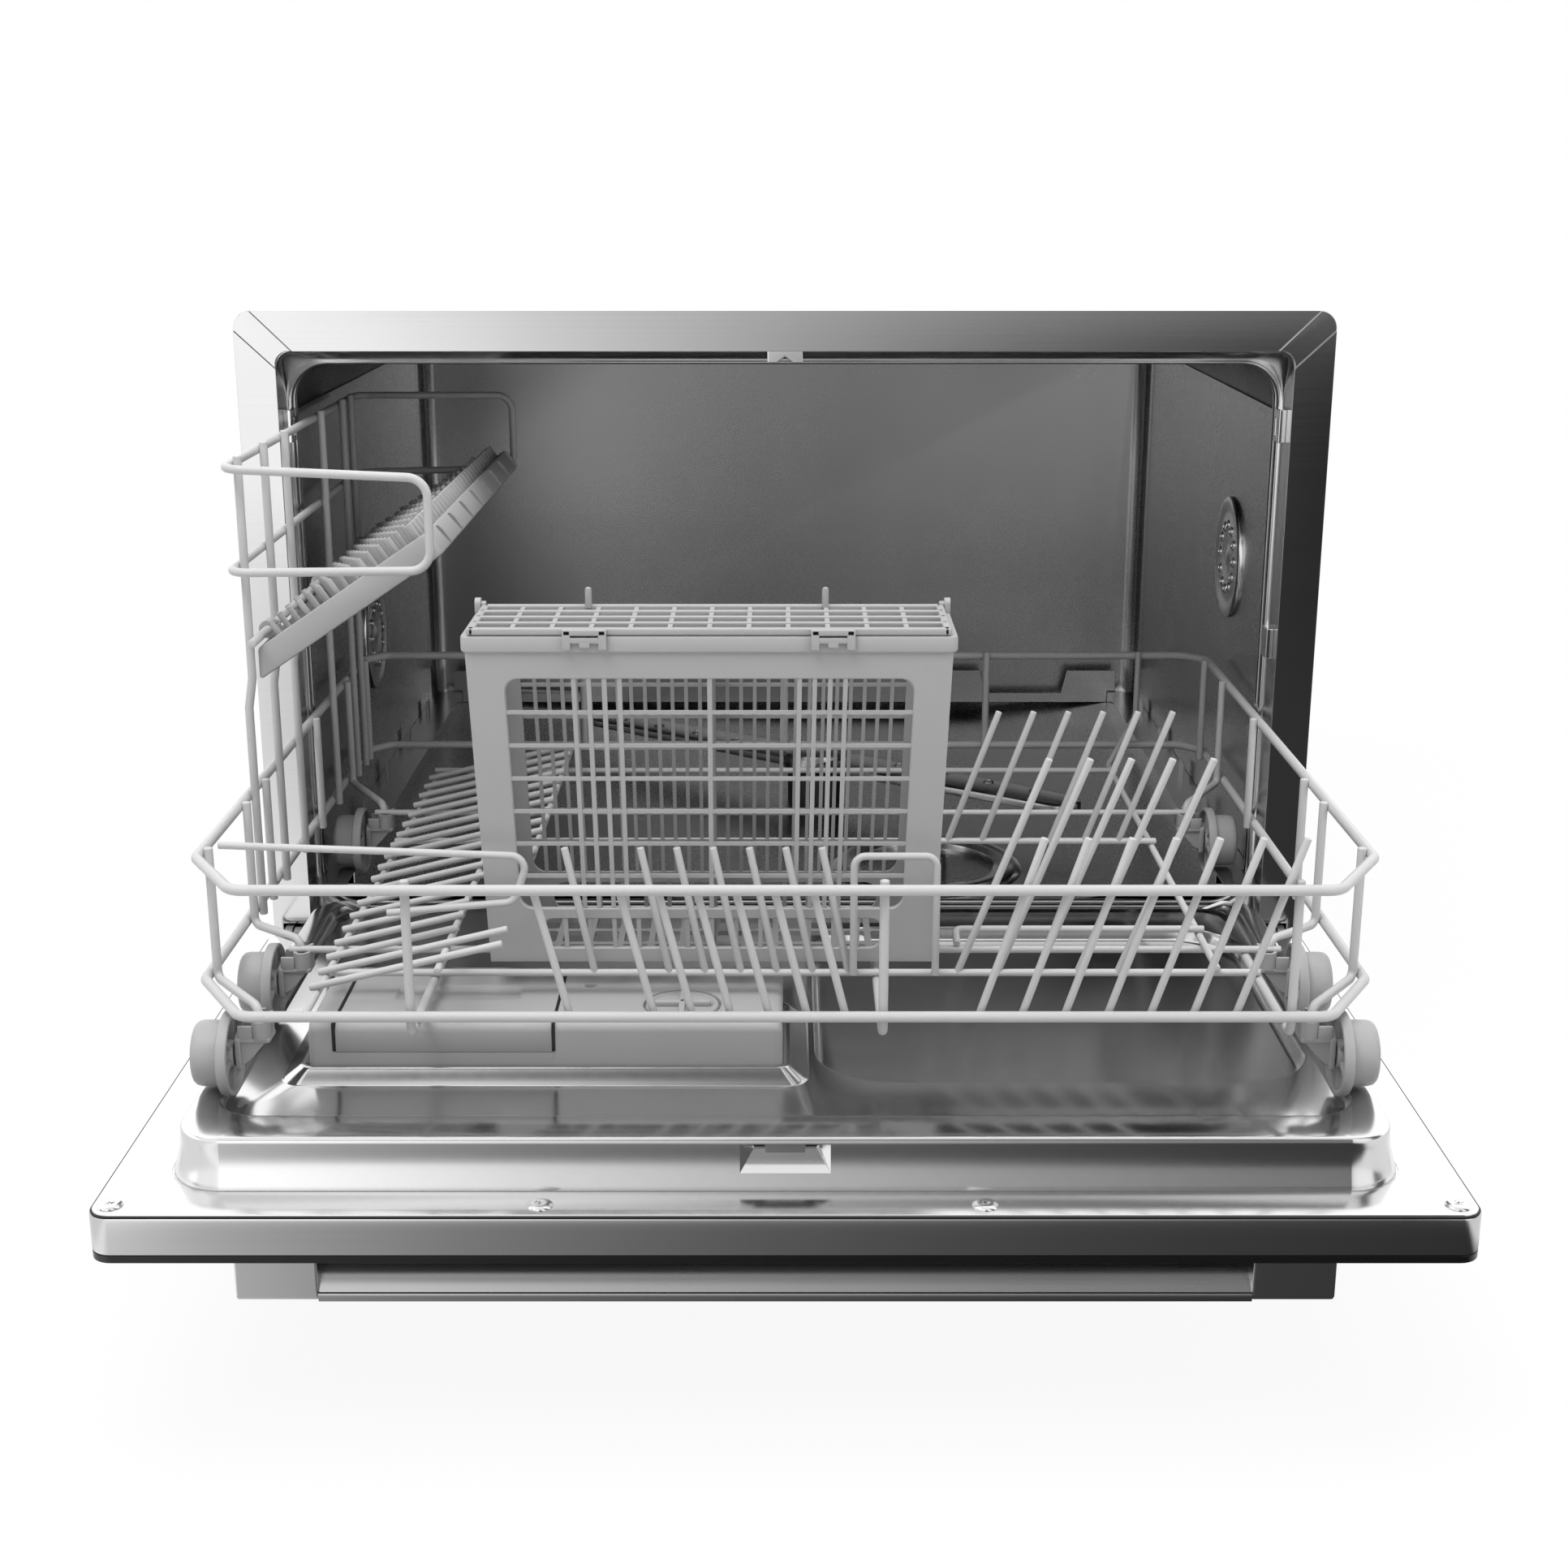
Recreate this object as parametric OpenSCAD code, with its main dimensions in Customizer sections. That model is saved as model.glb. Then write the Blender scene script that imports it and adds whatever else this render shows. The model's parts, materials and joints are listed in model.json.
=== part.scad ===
// Countertop dishwasher with its door folded down and its dish rack rolled out on the door.
// Millimetres. X is the width, Y runs from the door's top edge back to the rear panel, Z is up.

/* [Cabinet] */
// Width over the casing
cab_w = 550; // [520:1:600]
// Depth from the front frame to the rear panel
cab_d = 480; // [470:1:540]
// Height over the feet
cab_h = 438; // [432:1:480]
// Sheet thickness of the casing
sheet = 1; // [0.8:0.1:1.6]
// Outside corner radius of the casing and the front frame
casing_r = 9; // [4:0.5:14]
// Width of the front frame's face
frame_face = 20; // [18:0.5:24]
// Thickness of the front frame
frame_t = 1.5; // [1:0.1:2.5]
// Height of the front frame's lower edge above the ground
frame_z = 92; // [90:0.5:94]
// Height of the feet
foot_h = 12; // [8:1:16]
// Radius of a foot
foot_r = 14; // [10:1:20]

/* [Tub] */
// Gap between the tub's back wall and the rear panel
tub_rear_gap = 18; // [12:1:18]
// Radius of the tub's upper edges
tub_r = 28; // [15:1:35]
// Depth of the flange that carries the seal, from the front frame back to the tub
flange_d = 34; // [30:1:38]
// Corner radius of the tub's mouth
mouth_r = 21; // [12:1:26]
// Height of the tub floor beside the rails
floor_z = 126; // [122:0.5:128]
// How much deeper the floor is around the sump
floor_fall = 9; // [4:0.5:9]
// Width of a guide rail
rail_w = 20; // [16:0.5:20]

/* [Sump] */
// Distance of the filter from the middle of the tub
filter_x = 82; // [70:1:90]
// Distance of the filter from the front frame
filter_y = 92; // [90:1:100]
// Radius of the filter cup
filter_r = 40; // [34:1:41]
// Height of the filter cup
filter_h = 44; // [36:1:50]
// Radius of the sump
sump_r = 57; // [54:1:57]

/* [Spray arm] */
// Distance of the spray arm's axis from the middle of the tub
arm_x = 20; // [0:1:25]
// Distance of the spray arm's axis from the front frame
arm_y = 235; // [230:1:240]
// Reach of the spray arm
arm_reach = 190; // [150:1:195]
// Width of the spray arm at its hub
arm_w = 38; // [30:1:42]
// Thickness of the spray arm
arm_t = 9; // [7:0.5:10]
// Angle at which the spray arm has stopped
arm_angle = -35; // [-60:5:60]

/* [Door] */
// Height of the hinge pins above the ground
hinge_z = 109; // [107:0.5:111]
// Distance of the hinge pins in front of the front frame
hinge_out = 4; // [3:0.5:5]
// Radius of the hinge pins
hinge_r = 3.5; // [3:0.1:4]
// Radial clearance of the hinge pins
hinge_gap = 0.05; // [0.02:0.01:0.08]
// Thickness of the door's black outer panel
panel_t = 3; // [2:0.5:4]
// Height of the door's steel edge band
band_h = 16.5; // [15:0.5:18]
// Height of the raised liner above the door's flange
plug_h = 21.2; // [18:0.1:21.2]
// Distance of the raised liner from the door's top edge
plug_inset = 24; // [24:0.5:28]
// Width of the ledge on which the rollers run
ledge_w = 12; // [11:0.5:13]
// Depth of the pan below the ledge
pan_depth = 5; // [5:0.5:9]
// Thickness of the liner sheet
liner_t = 1.2; // [0.8:0.1:1.5]
// Length of the handle
handle_w = 438; // [360:2:500]
// Length of a handle end cap
cap_w = 33; // [24:1:44]
// How far the handle stands off the door
handle_h = 20; // [18:0.5:30]
// Depth of the handle
handle_d = 22; // [18:0.5:28]

/* [Dispenser] */
// Width of the dispenser
disp_w = 204; // [196:1:206]
// Depth of the dispenser
disp_d = 70; // [66:1:72]
// Height of the dispenser's top above the door's flange
disp_h = 42; // [38:0.5:43]
// Width of the detergent lid
lid_w = 93; // [80:1:96]
// Radius of the rinse aid cap
cap_r = 16; // [12:0.5:18]

/* [Rack] */
// Diameter of the two ring wires
ring_d = 4.6; // [4:0.1:4.8]
// Diameter of the posts
post_d = 4; // [3.6:0.1:4.2]
// Diameter of the floor wires and tines
tine_d = 3.3; // [2.8:0.1:3.5]
// Overlap of two welded wires
weld = 0.2; // [0.1:0.05:0.3]
// Height of the lower ring
ring_low_z = 171; // [170.5:0.1:172]
// Height of the upper ring
ring_top_z = 226; // [222:1:236]
// Height of the cup frame's upper wire
cup_wire_z = 380; // [370:1:384]
// How far the rack stands out of the front frame
rack_out = 268; // [266:1:270]
// How far the rack runs back behind the front frame
rack_in = 162; // [160:1:163]
// Travel of the rack
rack_travel = 295; // [280:1:295]
// Side clearance of the rack in the mouth
rack_gap = 2.7; // [2:0.1:4]
// Lean of a plate tine, in millimetres sideways
tine_lean = 25; // [10:1:28]
// Pitch of the plate tines
tine_pitch = 17.7; // [16:0.1:18]

/* [Rollers] */
// Radius of a roller's running drum
drum_r = 14; // [12:0.5:14]
// Width of a roller's running drum
drum_w = 11.8; // [9:0.1:11.8]
// Radius of a roller's guide flange
roller_flange_r = 18; // [16:0.5:18]
// Thickness of a roller's guide flange
roller_flange_t = 4.7; // [3:0.1:4.7]
// Radius of a roller's axle
axle_r = 2.5; // [2:0.1:3]
// Radial clearance of a roller on its axle
axle_gap = 0.05; // [0.02:0.01:0.1]
// Clearance between the rollers and what they run on
roll_gap = 0.8; // [0.5:0.1:1]

/* [Cup shelf] */
// Width of the cup shelf
shelf_w = 106; // [80:1:108]
// Length of the cup shelf
shelf_len = 286; // [240:1:288]
// Height of the cup shelf's rim
shelf_rim = 16; // [10:1:16]
// Angle at which the cup shelf rests
shelf_tilt = 34; // [32:1:38]
// Height of the cup shelf's hinge wire
shelf_z = 301; // [296:1:306]

/* [Cutlery basket] */
// Width over the basket's rim
basket_w = 213; // [190:1:214]
// Depth over the basket's rim
basket_d = 56; // [46:1:56]
// Height of the basket
basket_h = 148; // [130:1:160]
// Wall thickness of the basket
basket_t = 2.2; // [1.6:0.1:3]
// Taper of each end of the basket
basket_taper = 8; // [2:1:10]
// Thickness of the basket's lid
lid_t = 3; // [2:0.5:4]

/* [Connections] */
// Radius of the water inlet's thread
inlet_r = 13.2; // [10:0.1:14]
// Radius of the drain spigot
drain_r = 9.5; // [8:0.5:11]
// How far the inlet and the drain spigot stand out of the rear panel
rear_out = 15; // [12:1:18]

/* [Hidden] */
$fn = 48;
e = 0.01; // overshoot of a cut
wire_fn = 16; // facets of a wire in the preview
bend_more = 0.06; // a bend is this much thicker than the straight wire
bend_lap = 0.3; // the straight wire runs this far into a bend

// Cabinet
half_w = cab_w / 2;
frame_top = cab_h;
frame_half_in = half_w - frame_face;
frame_top_in = frame_top - frame_face;
frame_bottom_in = frame_z + frame_face;
mouth_half = frame_half_in - 0.5;
mouth_top = frame_top_in - 6;
mouth_bottom = frame_bottom_in + 4;
tub_half = mouth_half + 2.5;
tub_back = cab_d - tub_rear_gap;
trough_z = floor_z - floor_fall;
trough_left = arm_x - 22;
trough_right = filter_x + 65;
sump_top = trough_z - sheet;
sump_h = 54;
rear_reach = cab_d + rear_out;
bay_t = 2;
bay_z = foot_h + bay_t;
connection_z = 58;
connection_x = half_w - 95;
gland_x = half_w - 35;
shoulder = 0.8;
bracket_x = frame_half_in + 9;

// Door, folded down: its inner face is up
hinge_y = -hinge_out;
face_z = hinge_z + hinge_out;
door_top_gap = 2;
door_front = hinge_y - (cab_h - door_top_gap - hinge_z);
door_end = hinge_y - 6;
door_len = door_end - door_front;
outer_z = face_z - liner_t - band_h - panel_t + 0.2;
band_z = outer_z + panel_t;
plug_half = mouth_half - 6.5;
plug_front = door_front + plug_inset;
plug_end = hinge_y - 10;
ledge_z = face_z + plug_h;
pan_half = plug_half - ledge_w;
pan_front = plug_front + plug_inset;
pan_z = ledge_z - pan_depth;
well_z = pan_z - 7;
handle_front = door_front + 5;
handle_z = outer_z - handle_h;
disp_x = -disp_w - 1;
disp_front = door_front + 94;
disp_top = face_z + disp_h;
lid_x = disp_x + 12;
lid_h = 2.8;
lip_t = 2;
cap_x = -45;
cap_y = disp_front + 23;
strip_y = door_front + 41;
strip_d = 28;
button_r = 6;
button_y = strip_y + strip_d / 2;
button_xs = [-86, 60, 86];
screw_xs = [-267, -97, 79, 266];
screw_y = door_front + 9;
latch_half = 16;

// Rack
rack_half = mouth_half - rack_gap - ring_d / 2;
rack_front = -rack_out;
post_x = rack_half - (ring_d + post_d) / 2 + weld;
post_top_z = ring_top_z + ring_d / 2 + 0.7;
post_low_z = ring_low_z - 2;
cross_z = ring_low_z - 6;
floor_wire_z = cross_z + tine_d - weld;
plate_wire_z = floor_wire_z + tine_d - weld;
under_wire_z = cross_z - (post_d + tine_d) / 2 + weld;
clip_top = cross_z + tine_d / 2 + 1.6;
base_y = rack_front + (ring_d + post_d) / 2 - weld;
tine_y = rack_front + (ring_d + tine_d) / 2 - weld;
plate_y = -202;
rear_plate_y = -30;
long_x = 190;
front_post_xs = [-155, 40.5, 209.5];
bowl_x = -200;
basket_x = -139;
basket_front = -195;
rib_x = -122;
rib_short = basket_x - 8;
rib_pitch = 18;
rib_slope = 0.24;
roller_z = ledge_z + roll_gap + drum_r;
roller_ys = [-254, -173, 41];
drum_x = pan_half - 0.3;
clip_x = drum_x - roller_flange_t - 11.5;
clip_half = 5.5;
shelf_x = -(rack_half - 9.9);
cup_post_x = -(rack_half - 6.5);
cup_wire_x = cup_post_x - post_d + weld;
cup_post_ys = [-136, -86, -42, 44, 100, 123];
loop_x = -157;
loop_front = -150;
loop_back = 158;
shelf_front = loop_front + 14;

// Basket
basket_z = cross_z + tine_d / 2 + 0.3;
basket_top = basket_z + basket_h;
basket_rim = 7;
lid_pin_r = 1.5;
lid_pin_y = basket_front + basket_d - 3;
lid_pin_z = basket_top + 3.4;
ear_t = 2.6;

// The origin is under the middle of everything, with the door down
seat_y = -(rear_reach + door_front) / 2;

steel = "silver";
dark_steel = "dimgray";
wire_grey = "darkgray";
plastic_grey = "gray";

// ---- Helpers ----

function unit(v) = v / norm(v);

// Points of an arc of radius r around c, from angle a0 to a1 in n steps
function arc(c, r, a0, a1, n = 8) =
  [for (i = [0:n]) let (a = a0 + (a1 - a0) * i / n) [c[0] + r * cos(a), c[1] + r * sin(a)]];

// Outline of a rectangle from a to b with corners of radius r
function round_box(a, b, r) = concat(
  arc([b[0] - r, b[1] - r], r, 0, 90), arc([a[0] + r, b[1] - r], r, 90, 180),
  arc([a[0] + r, a[1] + r], r, 180, 270), arc([b[0] - r, a[1] + r], r, 270, 360));

// A plate in the XZ plane with the outline pts, from y0 to y1
module upright(pts, y0, y1) {
  translate([0, y1, 0]) rotate([90, 0, 0]) linear_extrude(y1 - y0) polygon(pts);
}

// A plate in the YZ plane with the outline pts, from x0 to x1
module sideways(pts, x0, x1) {
  translate([x0, 0, 0]) rotate([90, 0, 90]) linear_extrude(x1 - x0) polygon(pts);
}

// A flat plate with the outline pts, from z0 to z1
module flat(pts, z0, z1) {
  translate([0, 0, z0]) linear_extrude(z1 - z0) polygon(pts);
}

// A ring in the XZ plane between two rounded boxes
module upright_ring(a, b, r, wall, r_in, y0, y1) {
  difference() {
    upright(round_box(a, b, r), y0, y1);
    upright(round_box([a[0] + wall, a[1] + wall], [b[0] - wall, b[1] - wall], r_in), y0 - e, y1 + e);
  }
}

// A box given by two opposite corners
module block(a, b) {
  translate(a) cube(b - a);
}

// A round rod of diameter d from a to b
module rod(a, b, d) {
  v = b - a;
  translate(a) rotate([0, acos(v[2] / norm(v)), atan2(v[1], v[0])]) cylinder(h = norm(v), d = d, $fn = wire_fn);
}

// Trim length of a bend of radius r at the point p between its neighbours
function bend_trim(a, p, b, r) =
  let (turn = acos(max(-1, min(1, unit(p - a) * unit(b - p))))) r * tan(turn / 2);

// One bend of a wire: an arc of radius r that touches both legs
module bend(a, p, b, r, d) {
  u = unit(p - a);
  v = unit(b - p);
  turn = acos(max(-1, min(1, u * v)));
  w = unit(v - (u * v) * u);
  start = p - u * r * tan(turn / 2);
  c = start + w * r;
  n = cross(-w, u);
  multmatrix([[-w[0], u[0], n[0], c[0]], [-w[1], u[1], n[1], c[1]], [-w[2], u[2], n[2], c[2]]])
    rotate_extrude(angle = turn) translate([r, 0]) circle(d = d + bend_more, $fn = wire_fn);
}

// A wire of diameter d along pts, with bends of radius r
module wire(pts, d, r = 6) {
  last = len(pts) - 1;
  for (i = [0:last - 1]) {
    u = unit(pts[i + 1] - pts[i]);
    from = i == 0 ? 0 : bend_trim(pts[i - 1], pts[i], pts[i + 1], r);
    to = i == last - 1 ? 0 : bend_trim(pts[i], pts[i + 1], pts[i + 2], r);
    rod(pts[i] + u * (from - (i == 0 ? 0 : bend_lap)), pts[i + 1] - u * (to - (i == last - 1 ? 0 : bend_lap)), d);
  }
  for (i = [1:1:last - 1]) bend(pts[i - 1], pts[i], pts[i + 1], r, d);
}

// A closed wire of diameter d along pts, with bends of radius r
module wire_ring(pts, d, r) {
  n = len(pts);
  for (i = [0:n - 1]) {
    a = pts[(i + n - 1) % n];
    b = pts[i];
    c = pts[(i + 1) % n];
    f = pts[(i + 2) % n];
    u = unit(c - b);
    rod(b + u * (bend_trim(a, b, c, r) - bend_lap), c - u * (bend_trim(b, c, f, r) - bend_lap), d);
    bend(a, b, c, r, d);
  }
}

// The children and their mirror image to the left
module both_sides() {
  children();
  mirror([1, 0, 0]) children();
}

module seat() {
  translate([0, seat_y, 0]) children();
}

// ---- Cabinet ----

module outer_casing() {
  top_out = arc([half_w - casing_r, cab_h - casing_r], casing_r, 0, 90);
  top_in = arc([half_w - casing_r, cab_h - casing_r], casing_r - sheet, 90, 0);
  right = concat([[half_w, foot_h]], top_out);
  inner_right = concat(top_in, [[half_w - sheet, foot_h]]);
  flip = function (pts) [for (i = [len(pts) - 1:-1:0]) [-pts[i][0], pts[i][1]]];
  color(steel) upright(concat(right, flip(right), flip(inner_right), inner_right), frame_t, cab_d);
}

module rear_panel() {
  x = half_w - casing_r;
  z = cab_h - casing_r;
  outline = concat([[half_w - sheet, foot_h]], arc([x, z], casing_r - sheet, 0, 90),
                   arc([-x, z], casing_r - sheet, 90, 180), [[-half_w + sheet, foot_h]]);
  color(dark_steel) difference() {
    upright(outline, cab_d - sheet - 1, cab_d - 1);
    for (hole = [[connection_x, inlet_r + 1], [-connection_x, drain_r + 1], [gland_x, 8.5]])
      translate([hole[0], cab_d - 5, connection_z]) rotate([-90, 0, 0]) cylinder(h = 10, r = hole[1]);
  }
}

// The strip between the two diagonal seams of an upper corner, grown by g on each side
function corner_strip(g) = [
  [half_w - 8.3 + g * 1.4, frame_top + 2], [half_w + 2, frame_top + 2], [half_w + 2, frame_top - 9.7 - g * 1.4],
  [half_w, frame_top - 9.7 - g * 1.4], [half_w - frame_face - 3, frame_top - 31.4 - g * 1.4],
  [half_w - frame_face - 10.3 - g * 1.4, frame_top - frame_face - 1.7],
  [half_w - 8.3 - g * 1.4, frame_top]];

module frame_ring() {
  difference() {
    upright(round_box([-half_w, frame_z], [half_w, frame_top], casing_r), 0, frame_t);
    upright(round_box([-frame_half_in, frame_bottom_in], [frame_half_in, frame_top_in], 7), -e, frame_t + e);
  }
}

module front_frame() {
  color(steel) difference() {
    frame_ring();
    both_sides() upright(corner_strip(0.15), -1, frame_t + 1);
    both_sides() block([frame_half_in, -1, frame_z + 3], [frame_half_in + 15, frame_t + 1, frame_bottom_in + 3]);
  }
}

module frame_corners() {
  color(steel) both_sides() intersection() {
    frame_ring();
    upright(corner_strip(0), -1, frame_t + 1);
  }
}

module front_plinth() {
  color(dark_steel) block([-half_w + 1, 0, foot_h + 2], [half_w - 1, frame_t, frame_z - 0.5]);
}

module base_tray() {
  in = sheet;
  color("dimgray") difference() {
    block([-half_w + in, frame_t, foot_h], [half_w - in, cab_d - sheet - 1, foot_h + 30]);
    block([-half_w + in + bay_t, frame_t + bay_t, bay_z],
          [half_w - in - bay_t, cab_d - sheet - 1 - bay_t, foot_h + 31]);
  }
}

module feet() {
  color("black") for (x = [-1, 1], y = [30, cab_d - 40])
    translate([x * (half_w - 30), y, 0]) cylinder(h = foot_h, r = foot_r);
}

// ---- Tub ----

// Cross-section of the tub, grown outwards by g
function tub_outline(g) = concat(
  [[-tub_half - g, floor_z - g], [-pan_half, floor_z - g], [trough_left, trough_z - g],
   [trough_right, trough_z - g], [pan_half, floor_z - g], [tub_half + g, floor_z - g]],
  arc([tub_half - tub_r, mouth_top - tub_r], tub_r + g, 0, 90),
  arc([-tub_half + tub_r, mouth_top - tub_r], tub_r + g, 90, 180));

module tub() {
  color(steel) difference() {
    upright(tub_outline(sheet), flange_d, tub_back + sheet);
    upright(tub_outline(0), flange_d - e, tub_back);
    translate([filter_x, filter_y, trough_z - 5]) cylinder(h = 10, r = filter_r + 6);
  }
}

module tub_flange() {
  a = [-frame_half_in, frame_bottom_in];
  b = [frame_half_in, frame_top_in];
  lip = 4;
  color(steel) {
    difference() {
      upright(round_box([a[0] - 3, a[1] - 3], [b[0] + 3, b[1] + 3], 11), frame_t, flange_d);
      upright(round_box(a, b, 8), frame_t - e, flange_d - lip);
      upright(round_box([-mouth_half, mouth_bottom], [mouth_half, mouth_top], mouth_r),
              flange_d - lip - 1, flange_d + e);
    }
  }
}

module door_seal() {
  color("black") difference() {
    upright(round_box([-frame_half_in, frame_bottom_in], [frame_half_in, frame_top_in], 8),
            flange_d - 10, flange_d - 4);
    upright(round_box([-mouth_half + 1.7, mouth_bottom - 1], [mouth_half - 1.7, mouth_top + 1], mouth_r),
            flange_d - 11, flange_d);
  }
}

module guide_rails() {
  x0 = tub_half - rail_w;
  x1 = tub_half - 0.2;
  y0 = flange_d + 0.2;
  y1 = tub_back - 16;
  tab = [12, 1.2, 8.5];
  color(steel) both_sides() {
    block([x0, y0, ledge_z - liner_t], [x1, y1, ledge_z]);
    block([x0, y0, floor_z], [x0 + liner_t, y1, ledge_z - liner_t]);
    block([x0, 4, ledge_z - liner_t], [mouth_half - 3, y0, ledge_z]);
    for (y = [60:80:y1 - 20])
      block([x1 - 5, y, ledge_z], [x1 - 5 + tab[1], y + tab[0], ledge_z + tab[2]]);
  }
}

module rear_ledge() {
  low = floor_z + 7;
  high = low + 17;
  notch = [148, 203];
  half = tub_half - 14;
  right = [[half, floor_z], [half, high], [notch[1] + 4, high], [notch[1], low], [notch[0], low],
           [notch[0] - 5, high]];
  left = [for (i = [len(right) - 1:-1:0]) [-right[i][0], right[i][1]]];
  color(steel) upright(concat(right, left), tub_back - 14, tub_back - 12.5);
}

module vent(r, t) {
  holes = 12;
  difference() {
    cylinder(h = t, r = r);
    for (i = [0:holes - 1]) rotate(i * 360 / holes) translate([r * 0.68, 0, -e]) cylinder(h = t + 1, r = 3);
    for (i = [0:holes / 2 - 1]) rotate(i * 720 / holes) translate([r * 0.36, 0, -e]) cylinder(h = t + 1, r = 3);
  }
}

module side_vents() {
  r = 35;
  t = 3;
  color(steel) {
    translate([tub_half, 137, 290]) rotate([0, -90, 0]) vent(r, t);
    translate([-tub_half, 226, 226]) rotate([0, 90, 0]) vent(r, t);
  }
}

module rail_hooks() {
  x = frame_half_in - 3.8;
  color(steel) {
    both_sides() difference() {
      block([x, 10, frame_top_in - 47], [frame_half_in, 22, frame_top_in - 30]);
      block([x - e, 13, frame_top_in - 44], [x + 2.2, 19, frame_top_in - 35]);
    }
    block([x, 8, 259], [frame_half_in, 20, 275]);
  }
}

module latch_striker() {
  w = 9;
  z = frame_top_in - 6.5;
  color(steel) difference() {
    block([-w, 7, z], [w, 19, frame_top_in]);
    upright([[-w + 3.5, z - 1], [w - 3.5, z - 1], [0, z + 3.2]], 6, 20);
  }
}

// ---- Water parts ----

module sump() {
  color("dimgray") translate([filter_x, filter_y, sump_top - sump_h]) difference() {
    cylinder(h = sump_h, r = sump_r);
    translate([0, 0, 3]) cylinder(h = sump_h, r = sump_r - 3);
  }
}

module flat_filter() {
  inner = filter_r + 7;
  color(steel) translate([filter_x, filter_y, trough_z]) difference() {
    cylinder(h = liner_t, r = inner + 8);
    translate([0, 0, -e]) cylinder(h = 5, r = inner);
  }
}

module filter_cup() {
  wall = 2;
  color("dimgray") translate([filter_x, filter_y, trough_z - filter_h + 1.5]) {
    difference() {
      union() {
        cylinder(h = filter_h, r = filter_r);
        translate([0, 0, filter_h]) cylinder(h = 3, r = filter_r + 11);
      }
      translate([0, 0, wall]) cylinder(h = filter_h + 5, r = filter_r - wall);
    }
    cylinder(h = filter_h + 8, r = 12);
  }
}

module spray_hub() {
  color("dimgray") translate([arm_x, arm_y, trough_z]) {
    cylinder(h = 20, r = 18);
    cylinder(h = 31, r = 6);
  }
}

module spray_arm() {
  z = trough_z + 20.5;
  tip_w = arm_w * 0.7;
  blade = [[0, -arm_w / 2], [arm_reach - 8, -tip_w / 2], [arm_reach, -tip_w / 4], [arm_reach, tip_w / 4],
           [arm_reach - 8, tip_w / 2], [0, arm_w / 2]];
  color(steel) translate([arm_x, arm_y, z]) rotate(arm_angle) difference() {
    union() {
      for (turn = [0, 180]) rotate(turn) flat(blade, 0.5, 0.5 + arm_t);
      cylinder(h = arm_t + 3, r = arm_w / 2 + 3);
    }
    translate([0, 0, -e]) cylinder(h = arm_t + 5, r = 6.05);
    for (x = [60:32:arm_reach - 20], side = [-1, 1])
      translate([side * x, side * 4, -e]) cylinder(h = arm_t + 5, r = 2);
  }
}

module heater() {
  color("silver") translate([filter_x, filter_y, sump_top - sump_h + 15])
    rotate_extrude() translate([sump_r - 7, 0]) circle(r = 4, $fn = 16);
}

module circulation_pump() {
  x = filter_x - sump_r - 6;
  y = filter_y + 30;
  color("dimgray") {
    translate([x, y, 60]) rotate([0, -90, 0]) {
      cylinder(h = 22, r = 36);
      translate([0, 0, 22]) cylinder(h = 86, r = 29);
    }
    block([x - 80, y - 12, bay_z], [x - 50, y + 12, 60]);
  }
}

module drain_pump() {
  x = filter_x + sump_r + 4;
  color("dimgray") {
    translate([x, filter_y, 48]) rotate([0, 90, 0]) {
      cylinder(h = 14, r = 24);
      translate([0, 0, 14]) cylinder(h = 44, r = 17);
    }
    block([x + 20, filter_y - 8, bay_z], [x + 40, filter_y + 8, 48]);
  }
}

module inlet_valve() {
  color("dimgray") translate([connection_x, cab_d - sheet - 1, connection_z]) rotate([90, 0, 0]) {
    translate([-18, -15, 0]) cube([36, 32, 44]);
    translate([0, 0, -sheet - 1]) cylinder(h = sheet + 2, r = inlet_r + shoulder);
    translate([0, 0, -rear_out - sheet - 1]) cylinder(h = rear_out + sheet + 2, r = inlet_r);
  }
}

module drain_spigot() {
  color("dimgray") translate([-connection_x, cab_d - sheet - 1, connection_z]) rotate([90, 0, 0]) {
    cylinder(h = 8, r = drain_r + 6);
    translate([0, 0, -sheet - 1]) cylinder(h = sheet + 2, r = drain_r + shoulder);
    translate([0, 0, -rear_out - sheet - 1]) cylinder(h = rear_out + sheet + 2, r = drain_r);
  }
}

module cable_gland() {
  color("black") translate([gland_x, cab_d - sheet - 1, connection_z]) rotate([90, 0, 0]) difference() {
    union() {
      translate([0, 0, -9]) cylinder(h = 10, r = 8);
      cylinder(h = 6, r = 12);
    }
    translate([0, 0, -10]) cylinder(h = 20, r = 3.6);
  }
}

module counterweight() {
  color("dimgray") block([-half_w + 135, cab_d - 95, bay_z], [half_w - 135, cab_d - 12, bay_z + 22]);
}

// ---- Door hinge ----

module hinge_brackets() {
  eye = 5.2;
  back = 14;
  foot_z = bay_z;
  color(dark_steel) both_sides() difference() {
    union() {
      sideways([[hinge_y, hinge_z - eye], [hinge_y, hinge_z + eye], [back, hinge_z + eye], [back, foot_z],
                [frame_t + 4, foot_z], [frame_t + 4, hinge_z - eye]], bracket_x, bracket_x + 4);
      translate([bracket_x, hinge_y, hinge_z]) rotate([0, 90, 0]) cylinder(h = 4, r = eye);
    }
    translate([bracket_x - 1, hinge_y, hinge_z]) rotate([0, 90, 0]) cylinder(h = 6, r = hinge_r + hinge_gap);
  }
}

module hinge_arms() {
  arm_in = bracket_x - 5;
  eye = 5.2;
  top = face_z - liner_t;
  color(dark_steel) both_sides() union() {
    sideways([[door_end - 60, top - 9], [door_end - 60, top], [door_end + 0.3, top], [hinge_y, hinge_z + eye],
              [hinge_y, hinge_z - eye], [door_end - 10, top - 9]], arm_in, arm_in + 4);
    translate([arm_in, hinge_y, hinge_z]) rotate([0, 90, 0]) cylinder(h = 4, r = eye);
    translate([arm_in + 3, hinge_y, hinge_z]) rotate([0, 90, 0]) cylinder(h = 7.6, r = hinge_r);
  }
}

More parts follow.
